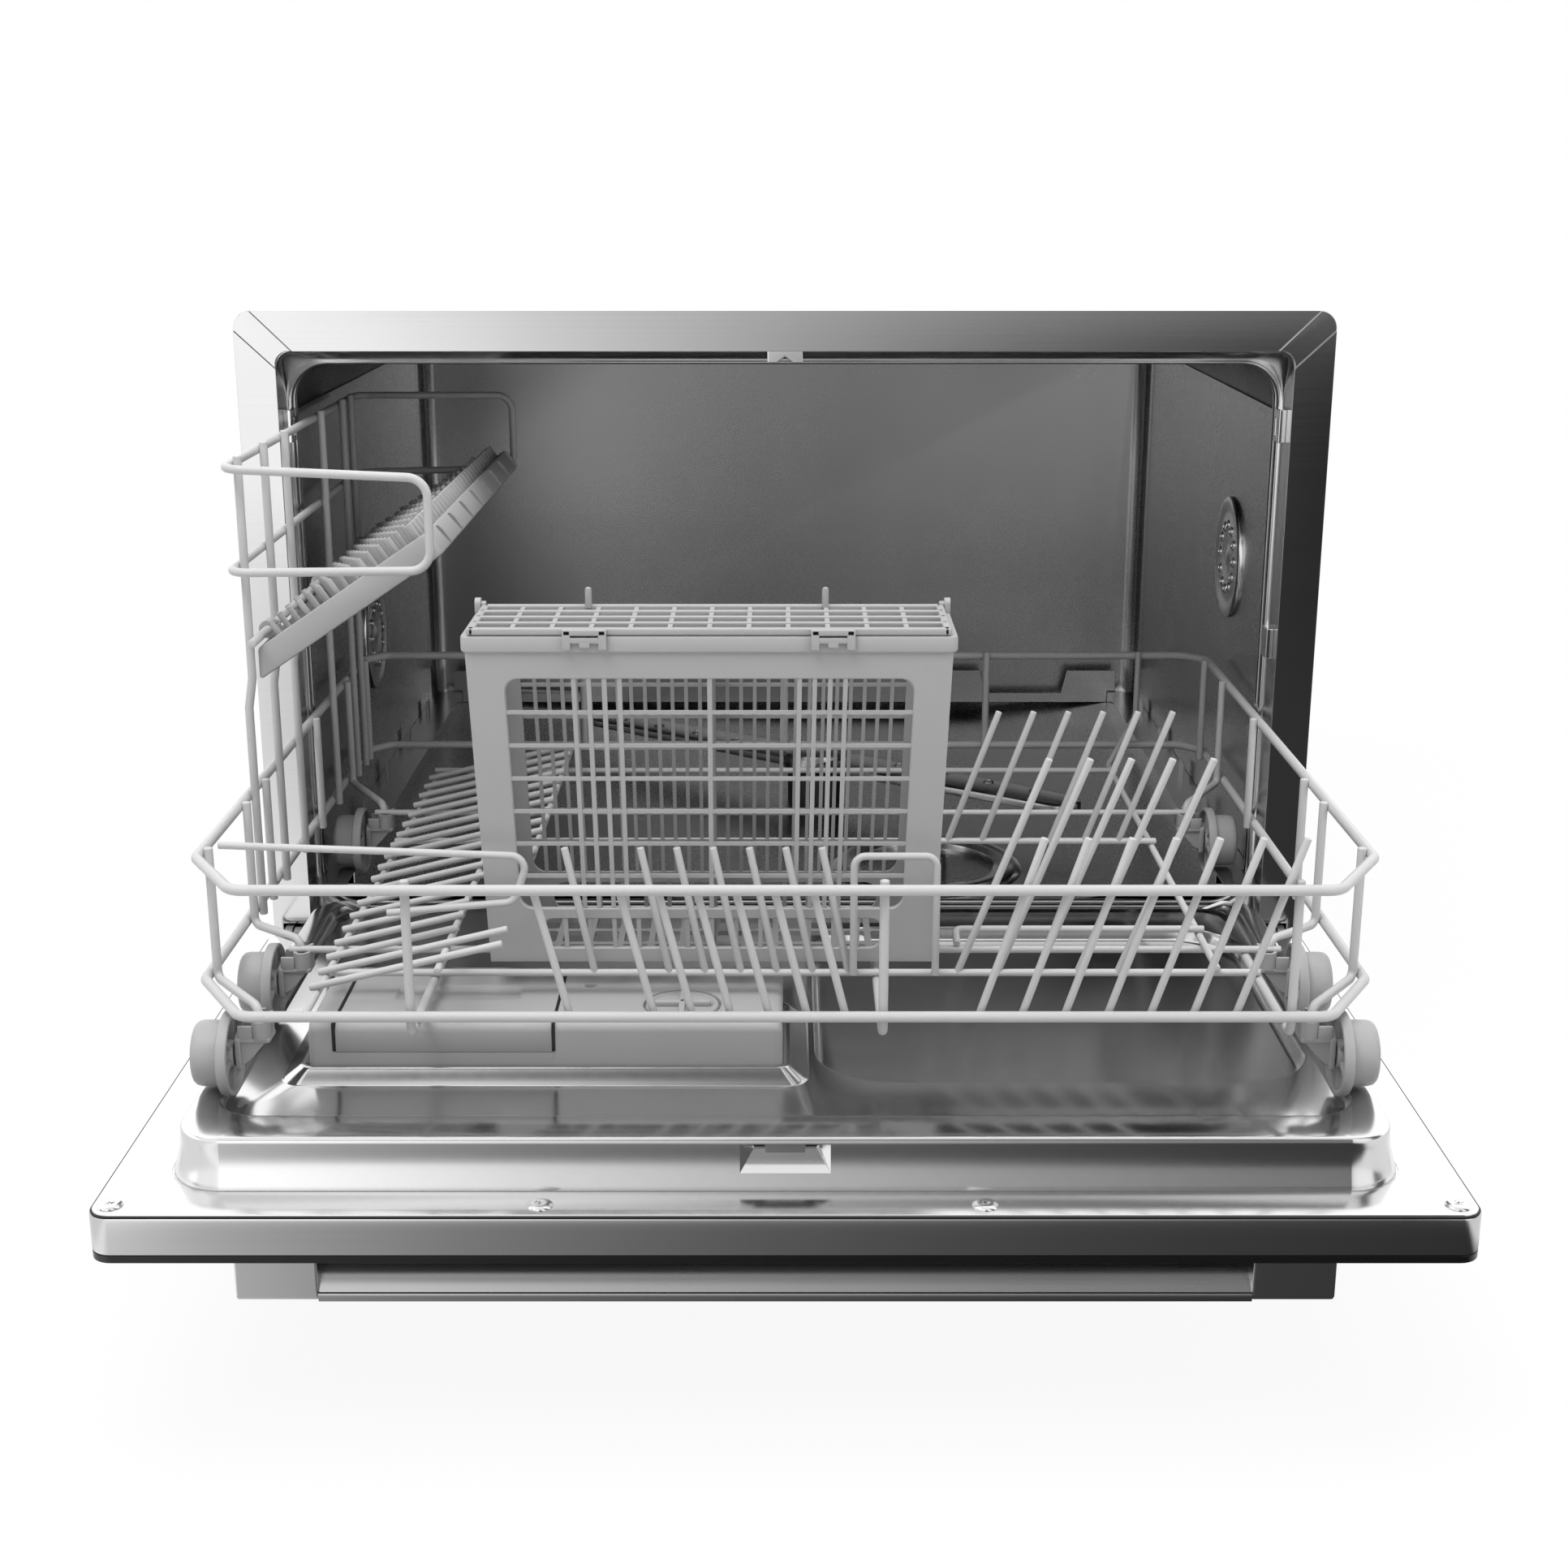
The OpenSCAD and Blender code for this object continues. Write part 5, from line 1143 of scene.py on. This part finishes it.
def bars(batch, window, axis, shares, half, y0, y1):
    """Thin bars that reach 1 mm past a window: upright ones for axis 0, level ones for axis 1."""
    for share in shares:
        (x0, z0), (x1, z1) = window
        at = window[0][axis] + (window[1][axis] - window[0][axis]) * share
        ends = (at - half, at + half, z0 - 1, z1 + 1) if axis == 0 else (x0 - 1, x1 + 1, at - half, at + half)
        wall_skin(batch, [(oblong(*ends), y0), (oblong(*ends), y1)])


basket = Batch()
wx0, wx1, SHEET_T = BX0 + 2, BX1 - 2, 2.2
PARTED, BAND_Z = 189.5, 308.2  # the heights where the two rows of windows meet and where the band begins
WINDOW, LOWER = ((-121.0, 192.0), (56.0, 296.0)), ((-112.0, 173.5), (47.0, 187.0))
FRONT_BARS = (0.168, 0.205, 0.243, 0.28, 0.5, 0.72, 0.757, 0.795, 0.832)
for y_out, inwards, marks, half in ((BY0, 1, FRONT_BARS, 1.0), (BY1, -1, np.arange(1, 28) / 28, 0.85)):
    y_in = y_out + inwards * SHEET_T
    for z0, z1, window in ((PARTED, BAND_Z, WINDOW), (BZ0, PARTED, LOWER)):
        wall = outline((wx0, z0), (wx1, z1), 0.02, 6)
        inner, outer = inset(window, 0.0, 6.0, 6), inset(window, -0.5, 6.0, 6)
        wall_skin(basket, [(wall, y_in), (inner, y_in), (inner, y_out + inwards * 0.6), (outer, y_out), (wall, y_out)],
                  caps=OPEN, flip=inwards > 0)
    y0, y1 = min(y_out, y_in) + 0.4, max(y_out, y_in) - 0.4
    bars(basket, WINDOW, 0, marks, half, y0, y1)
    bars(basket, WINDOW, 1, np.arange(1, 7) / 7, 0.8, y0 + 0.15, y1 - 0.15)
    bars(basket, LOWER, 0, np.arange(1, 14) / 14, 1.0, y0, y1)
for x0, x1 in ((wx0, wx0 + SHEET_T), (wx1 - SHEET_T, wx1)):
    wall = outline((BY0 + 0.3, BZ0), (BY1 - 0.3, BAND_Z), 0.02, 4)
    hole = outline((BY0 + 12, 196.0), (BY1 - 12, 292.0), 5.0, 4)
    wall_skin(basket, [(wall, x0), (wall, x1), (hole, x1), (hole, x0)], "x", OPEN, ring=True)
    for z in 196.0 + 96.0 * np.arange(1, 8) / 8:
        bar = outline((BY0 + 11, z - 0.9), (BY1 - 11, z + 0.9), 0.5, 2)
        wall_skin(basket, [(bar, x0 + 0.3), (bar, x1 - 0.3)], "x")
cells_x, cells_y = np.linspace(wx0 + 6.2, wx1 - 6.2, 15), np.linspace(BY0 + 0.6, BY1 - 0.6, 4)
slotted(basket, cells_x, cells_y, BZ0, BZ0 + SHEET_T, (1.4, 1.4))
slab(basket, (-33.5, BY0 + 1, BZ0 + 1), (-31.5, BY1 - 1, 300.5), 0.6, 0.3)
BAND = ((3.6, 307.0), (0.8, 307.6), (0.1, 308.4), (0.0, 309.4), (0.0, 313.8), (0.3, 314.6), (1.0, 314.95),
        (3.0, 314.95), (3.6, 314.4))
skin(basket, [(inset(((BX0, -195.0), (BX1, -139.0)), g, 4 - g * 0.6, 5), z) for g, z in BAND], "z", OPEN, ring=True)
for x in (BX0, BX1 - 2.6):
    ear = outline((-145.0, 313.5), (-139.0, 321.3), 2.4, 4)
    skin(basket, [(ear, x), (ear, x + 2.6)], "x")
basket.piece("cutlery_basket_dressed", "basket", grey, "grey_plastic", "cutlery_basket", angle=35)

# %% Basket lid
LID_Z, LID_T = 315.35, 3.0
lx0, lx1, ly0, ly1 = -136.0, 71.0, -194.5, -140.6
lid_top = Batch()
rails_y = np.linspace(ly0 + 2.0, ly1 - 2.0, 5)
slotted(lid_top, np.linspace(lx0 + 2.0, lx1 - 2.0, 13), rails_y, LID_Z + 0.2, LID_Z + 2.2, (1.0, 1.1), 1.0)
for y, fat in zip(rails_y, (1.9, 1.3, 1.3, 1.3, 1.9)):
    slab(lid_top, (lx0 + 0.4, y - fat, LID_Z), (lx1 - 0.4, y + fat, LID_Z + LID_T), 1.0, 0.7, steps=2)
for x in (lx0 + 1.7, lx1 - 1.7):
    slab(lid_top, (x - 1.7, ly0 + 0.1, LID_Z), (x + 1.7, ly1 + 0.4, LID_Z + LID_T), 1.0, 0.7, steps=2)
for x in (-95.0, 11.0):
    slab(lid_top, (x, -197.2, 315.6), (x + 19, -192.5, 318.3), 0.8, 0.5)
    for at in (0.0, 15.4):
        slab(lid_top, (x + at, -197.2, 309.3), (x + at + 3.6, -195.4, 318.0), 0.8, 0.4, "y")
    for x0, x1, z0, z1 in ((1.5, 17.5, 312.2, 314.8), (7.2, 11.8, 310.2, 313.0)):
        slab(lid_top, (x + x0, -197.0, z0), (x + x1, -195.5, z1), 0.8, 0.4, "y")
    turned(lid_top, [(1.5, 317.4), (1.5, 325.6), (1.2, 326.3), (0.5, 326.6)], (x + 7, -144.5), "z", 16)
for x0, x1 in ((lx0 - 2.5, lx0 + 2), (lx1 - 2, lx1 + 2.5)):
    turned(lid_top, [(1.0, x0), (1.5, x0 + 0.4), (1.5, x1 - 0.2)], (-142.0, 318.35), "x", 20)
lid_top.piece("basket_lid_dressed", "basket_cover", grey, "grey_plastic", "basket_lid", angle=35)

# %% [markdown]
# ## Fittings inside the tub
# The small steel fittings are folded or stamped and their solids have the true section, so
# they get eased edges and a finish. The filter, the sump ring, the spray arm and the side
# inlets are turned or pressed shapes and are worked out as such.

# %% Rails, ledge and hooks
softened("guide_rails_eased", "guide_rails", "cabinet", pressed, 0.4)
softened("rear_ledge_eased", "rear_ledge", "cabinet", pressed, 0.45)
softened("rail_hooks_eased", "rail_hooks", "cabinet", polished, 0.6, 3)

# %% Filter
filter_ring = Batch()
turned(filter_ring, [(47.2, 117.1), (54.4, 117.1), (54.9, 117.4), (54.6, 117.9), (53.6, 118.15), (48.4, 118.2),
                     (47.4, 118.0), (47.05, 117.6)], HOLE, "z", 72, OPEN, True)
filter_ring.piece("filter_rim", "cabinet", polished, "stainless", "flat_filter", angle=50)

CUP_Z = TROUGH - 42.5  # the underside of the cup
CUP_SIDE = [
    (38.0, 0.0), (40.0, 0.6), (40.0, 43.4), (50.2, 44.1), (51.0, 44.9), (50.8, 46.4), (49.8, 47.0), (46.0, 46.6),
    (41.0, 45.8), (38.6, 44.6), (38.0, 42.0), (38.0, 3.0), (36.0, 2.0), (12.0, 2.0), (11.8, 2.4), (11.8, 48.4),
    (11.2, 50.6), (9.4, 51.7), (7.0, 51.9), (5.0, 50.6), (1.0, 50.2)]
cup = Batch()
turned(cup, raised(CUP_SIDE, CUP_Z), HOLE, "z", 64)
for a in np.radians(np.arange(24) * 15.0):
    rib = blade(a, 12.5, 37.8, 0.5, HOLE)
    skin(cup, [(rib, CUP_Z + 36.0), (rib, CUP_Z + 41.0)])
cup.piece("filter_cup_dressed", "filter", polished_soft, "stainless", "filter_cup", angle=40)

# %% Spray arm and hub
HUB = (20.0, 235.0)
hub = Batch()
turned(hub, [(18.0, TROUGH), (18.0, 134.6), (17.2, 136.2), (15.0, 137.0), (6.6, 137.0), (6.0, 137.6), (6.0, 147.2),
             (5.4, 147.9), (2.0, 148.0)], HUB)
hub.piece("spray_hub_dressed", "cabinet", dark, "dark_plastic", "spray_hub", angle=40)

arm = Batch()
REACH, ARM_TURN, ARM_Z, THICK = 188.0, math.radians(-35.0), 142.3, 4.2
ROOT_W, END_W, TIP = 19.0, 13.3, 0.93  # half widths, and where along the arm its round tip begins
t = np.linspace(0, 1, 41)
half_width = (ROOT_W * (1 - t) + END_W * t) * np.sqrt(1 - ((t - TIP) / (1 - TIP)).clip(0, 1) ** 2)
half_width[-1] = 2.4
u = np.linspace(0, 2 * math.pi, 24, endpoint=False)
for side in (1.0, -1.0):
    x = side * t[:, None] * REACH * np.ones_like(u)
    y = half_width[:, None] * np.cos(u)
    z = ARM_Z + THICK * np.sign(np.sin(u)) * np.abs(np.sin(u)) ** 0.5 * (0.75 + 0.25 * (1 - t[:, None] ** 4))
    arm.grid(np.stack([x, y, z], -1), False, True, side > 0, True, True)
turned(arm, [(6.08, 138.1), (20.6, 138.1), (22.0, 139.4), (22.0, 146.0), (20.4, 148.4), (16.0, 149.6), (9.0, 149.8),
             (6.08, 149.8)], (0, 0), "z", 48, OPEN, True)
JET = [(3.4, 146.2), (3.4, 146.9), (2.8, 147.2), (2.2, 147.1), (2.0, 146.4), (0.6, 146.2)]
for x in (60.0, 92.0, 124.0, 156.0):
    for side in (1.0, -1.0):
        turned(arm, JET, (side * x, side * 4.0), "z", 16)
c, s = math.cos(ARM_TURN), math.sin(ARM_TURN)
arm.points = [np.column_stack([HUB[0] + p[:, 0] * c - p[:, 1] * s, HUB[1] + p[:, 0] * s + p[:, 1] * c, p[:, 2]])
              for p in arm.points]
arm.piece("spray_arm_dressed", "arm", pressed, "stainless", "spray_arm", angle=40)

# %% Side inlets and latch striker
vents = Batch()
VENT = ((35.0, 0.0), (35.0, 1.2), (34.4, 2.3), (33.0, 2.9), (30.0, 2.7), (27.0, 1.6), (25.0, 1.5), (22.0, 2.2),
        (17.0, 2.4), (12.0, 2.0), (9.0, 1.2), (6.0, 1.4), (3.0, 2.4), (1.0, 2.6))
PIP = ((2.9, 2.2), (2.9, 2.9), (2.2, 2.95), (1.9, 2.5), (0.5, 2.4))
for x, side, y, z in ((TUB_HALF, -1, 137.0, 290.0), (-TUB_HALF, 1, 226.0, 226.0)):
    turned(vents, raised(VENT, x, side), (y, z), "x", 48, flip=side < 0)
    for a in np.radians(np.arange(12) * 30.0):
        mid = (y + 18.5 * math.cos(a), z + 18.5 * math.sin(a))
        turned(vents, raised(PIP, x, side), mid, "x", 14, flip=side < 0)
vents.piece("side_inlets_dressed", "cabinet", polished_soft, "stainless", "side_vents", angle=40)
softened("latch_striker_eased", "latch_striker", "cabinet", polished, 0.7, segments=3)

# %% [markdown]
# ## Back, base and works
# Behind and under the machine are the rear sheet, the base tray, feet, the counterweight and
# the water parts. Nobody looks at them for long, but they have eased edges, and the springs
# are wound wire: a helix whose pitch is a little more than the wire is thick.

# %% Hidden parts
for name, solid, mat, width in (
        ("rear_sheet", "rear_panel", zinc, 0.3), ("plinth_eased", "front_plinth", brushed_side, 0.5),
        ("base_tray_eased", "base_tray", dark, 0.6), ("hinge_brackets_eased", "hinge_brackets", zinc, 0.4),
        ("circulation_pump_eased", "circulation_pump", dark, 1.2), ("drain_pump_eased", "drain_pump", dark, 1.0),
        ("inlet_valve_eased", "inlet_valve", dark, 0.8), ("drain_spigot_eased", "drain_spigot", dark, 0.8),
        ("cable_gland_eased", "cable_gland", dark, 0.6), ("counterweight_eased", "counterweight", iron, 1.5),
        ("sump_eased", "sump", dark, 0.8)):
    softened(name, solid, "cabinet", mat, width)

feet = Batch()
STUB = [(12.6, 0.0), (13.6, 0.5), (14.0, 1.6), (14.0, 4.0), (13.0, 4.8), (12.2, 6.0), (12.0, 11.9)]
for x in (-245.0, 245.0):
    for y in (30.0, 440.0):
        turned(feet, STUB, (x, y), "z", 40)
feet.piece("rubber_feet", "cabinet", rubber, slot_of["feet"], "feet", angle=40)

springs = Batch()
COILS, COIL_R, LONG, SPRING_AT = 40, 5.0, 118.0, (256.0, 23.0, 20.0)
a = np.linspace(0, 2 * math.pi * COILS, COILS * 14 + 1)
for x in (SPRING_AT[0], -SPRING_AT[0]):
    path = np.column_stack([x + COIL_R * np.cos(a), SPRING_AT[1] + LONG * a / a[-1], SPRING_AT[2] + COIL_R * np.sin(a)])
    springs.grid(rings(path, 0.95, 8), wrap_cols=True, cap_start=True, cap_end=True)
springs.piece("door_springs_wound", "cabinet", zinc, slot_of["door_springs"], "door_springs")

# %% [markdown]
# ## The back
# A large thin sheet is stiffened by a shallow pressed field, with a smaller one low down
# between the hose connections, and screwed round its edge into the casing.

# %% Pressed fields and screws of the back
SHEET = DEPTH - 1
fields = Batch()
slab(fields, (-240, SHEET - 0.3, 150), (240, SHEET + 0.9, 405), 28.0, 0.8, "y")
slab(fields, (-95, SHEET - 0.3, 34), (95, SHEET + 0.9, 118), 16.0, 0.8, "y")
fields.piece("rear_pressed_fields", "cabinet", zinc, "zinc_steel")
back_screws = Batch()
SCREW = ((6.0, -0.2), (6.0, 0.5), (5.6, 0.7), (3.9, 0.8), (3.7, 1.9), (3.2, 2.4), (1.4, 2.6), (0.3, 2.6))
sides = [(x, z) for x in (-262, 262) for z in (30, 150, 280, 405)]
for at in sides + [(-130, 424), (0, 424), (130, 424), (-120, 24), (120, 24)]:
    turned(back_screws, raised(SCREW, SHEET), at, "y", sides=20)
back_screws.piece("rear_screws", "cabinet", polished, "bright_steel")

# %% [markdown]
# ## Floor, light and camera
# The machine stands on a plain pale floor against white. Soft boxes light it: a broad one
# above and to the left, a weaker one from the right. Steel shows what is round it, so the
# surroundings that it mirrors run from white on the left to dark on the right.

# %% Set
BOX_FROM, SHARP = 0.38, 12.0  # how far to each side the side boxes begin, and how sharply
FAN_Y, NEAR_Y, FAR_Y = 0.6, -0.9, -2.5  # where the floor's fan of light starts, and where it changes to the far one
HOOD_LOW, HOOD_TOP, POLE, EASE = 0.48, 0.7, 0.9, 14.0  # the dark hood and the white top of the room, by height


def rays_of(tree):
    """Whether a ray comes straight from the lens, and whether it was mirrored by a piece."""
    rays = tree.nodes.new("ShaderNodeLightPath")
    return [Val(tree, rays.outputs[name]) for name in ("Is Camera Ray", "Is Glossy Ray")]


scene = bpy.context.scene
floor_mesh = bpy.data.meshes.new("pale_floor")
floor_mesh.from_pydata([(-6, -6, 0), (6, -6, 0), (6, 6, 0), (-6, 6, 0)], [], [(0, 1, 2, 3)])
floor = bpy.data.objects.new("pale_floor", floor_mesh)
scene.collection.objects.link(floor)
pale = bpy.data.materials.new("pale_floor")
tree = emptied(pale)
eye, mirror = rays_of(tree)
matt = node(tree, "ShaderNodeBsdfDiffuse", {}, {0: (0.8, 0.8, 0.8, 1.0)})
east, north, _ = axes_of(tree, place_on(tree))
fan = east / (FAN_Y - north).clamp(0.2, 20.0)
far = ((NEAR_Y - north) / (NEAR_Y - FAR_Y)).clamp()
near_glow = ((math.e ** (fan * -7.0)) * 0.112 + 0.03).clamp(0.0, 1.2)
far_glow = ((0.36 - fan).clamp(0.0, 0.57) / 0.6) ** 2.2 * 1.6 + 0.01
sides = ((fan.size() - BOX_FROM) * SHARP).clamp()
shine = (near_glow + (far_glow - near_glow) * far) * (1 - sides) + sides * 0.95
glow = node(tree, "ShaderNodeEmission", {}, {0: (1.0, 1.0, 1.0, 1.0), 1: eye + (1 - eye) * shine})
white = 0.93 + ((east * east + north * north) * 0.5 - 0.4).clamp(0.0, 0.07)
mixed = node(tree, "ShaderNodeMixShader", {}, {0: (eye * white + mirror).clamp(), 1: matt, 2: glow})
shown(tree, mixed.socket)
floor_mesh.materials.append(pale)

world = bpy.data.worlds.new("studio")
scene.world = world
tree = emptied(world)
eye, mirror = rays_of(tree)
east, north, up = axes_of(tree, node(tree, "ShaderNodeTexCoord", out=0))
wide = east / (1.0001 - up * up) ** 0.5
front = (0.5 - north * 6.0).clamp()
sides = ((wide.size() - BOX_FROM) * SHARP).clamp() * ((0.93 - wide.size()) * SHARP).clamp(0.1, 1.0)
panel = ((math.e ** (wide * -4.1)) * 0.6).clamp(0.03, 1.6)
hood = ((up - HOOD_LOW) * EASE).clamp() * ((HOOD_TOP - up) * EASE).clamp()
pole = ((up - POLE) * EASE).clamp()
ahead = (panel * (1 - hood) + hood * 0.13) * (1 - sides) + sides * 1.15
sky = (ahead * front + 1.45 * (1 - front)) * (1 - pole) + pole * 1.05
level = eye + (1 - eye) * (mirror * sky + (1 - mirror) * (0.3 + up.clamp() * 0.45))
background = node(tree, "ShaderNodeBackground", {}, {0: (1.0, 1.0, 1.0, 1.0), 1: level})
shown(tree, background.socket, "ShaderNodeOutputWorld")


def softbox(name, at, aim, size, watts):
    """An area lamp at a point, turned towards another point."""
    lamp = bpy.data.lights.new(name, "AREA")
    lamp.shape, lamp.size, lamp.size_y, lamp.energy = "RECTANGLE", size[0], size[1], watts
    thing = bpy.data.objects.new(name, lamp)
    scene.collection.objects.link(thing)
    thing.location, thing.visible_glossy = at, False
    away = np.subtract(at, aim)
    flat = math.hypot(away[0], away[1])
    thing.rotation_euler = (math.atan2(flat, away[2]), 0.0, math.atan2(away[0], -away[1]))


softbox("key", (-0.8, -1.2, 2.2), (0, -0.1, 0.2), (1.4, 1.0), 27)
softbox("fill", (1.6, -1.2, 1.0), (0, 0, 0.2), (0.9, 1.2), 8)
softbox("top", (0.0, -0.3, 2.2), (0, -0.1, 0.2), (2.0, 1.4), 30)

camera_data = bpy.data.cameras.new("camera")
camera = bpy.data.objects.new("camera", camera_data)
scene.collection.objects.link(camera)
SENSOR, FOCAL_PX, FRAME_PX = 36.0, 2655.8, 1932.0
CAMERA_AT, LOOK_DOWN = (-0.5, -1093.8, 510.1), 16.159
camera_data.sensor_width = SENSOR
camera_data.lens = SENSOR * FOCAL_PX / FRAME_PX
camera.location = spot(*CAMERA_AT)
camera.rotation_euler = (math.radians(90.0 - LOOK_DOWN), 0.0, 0.0)
scene.camera = camera
scene.view_settings.view_transform = "Standard"
print("camera lens", round(camera_data.lens, 2))
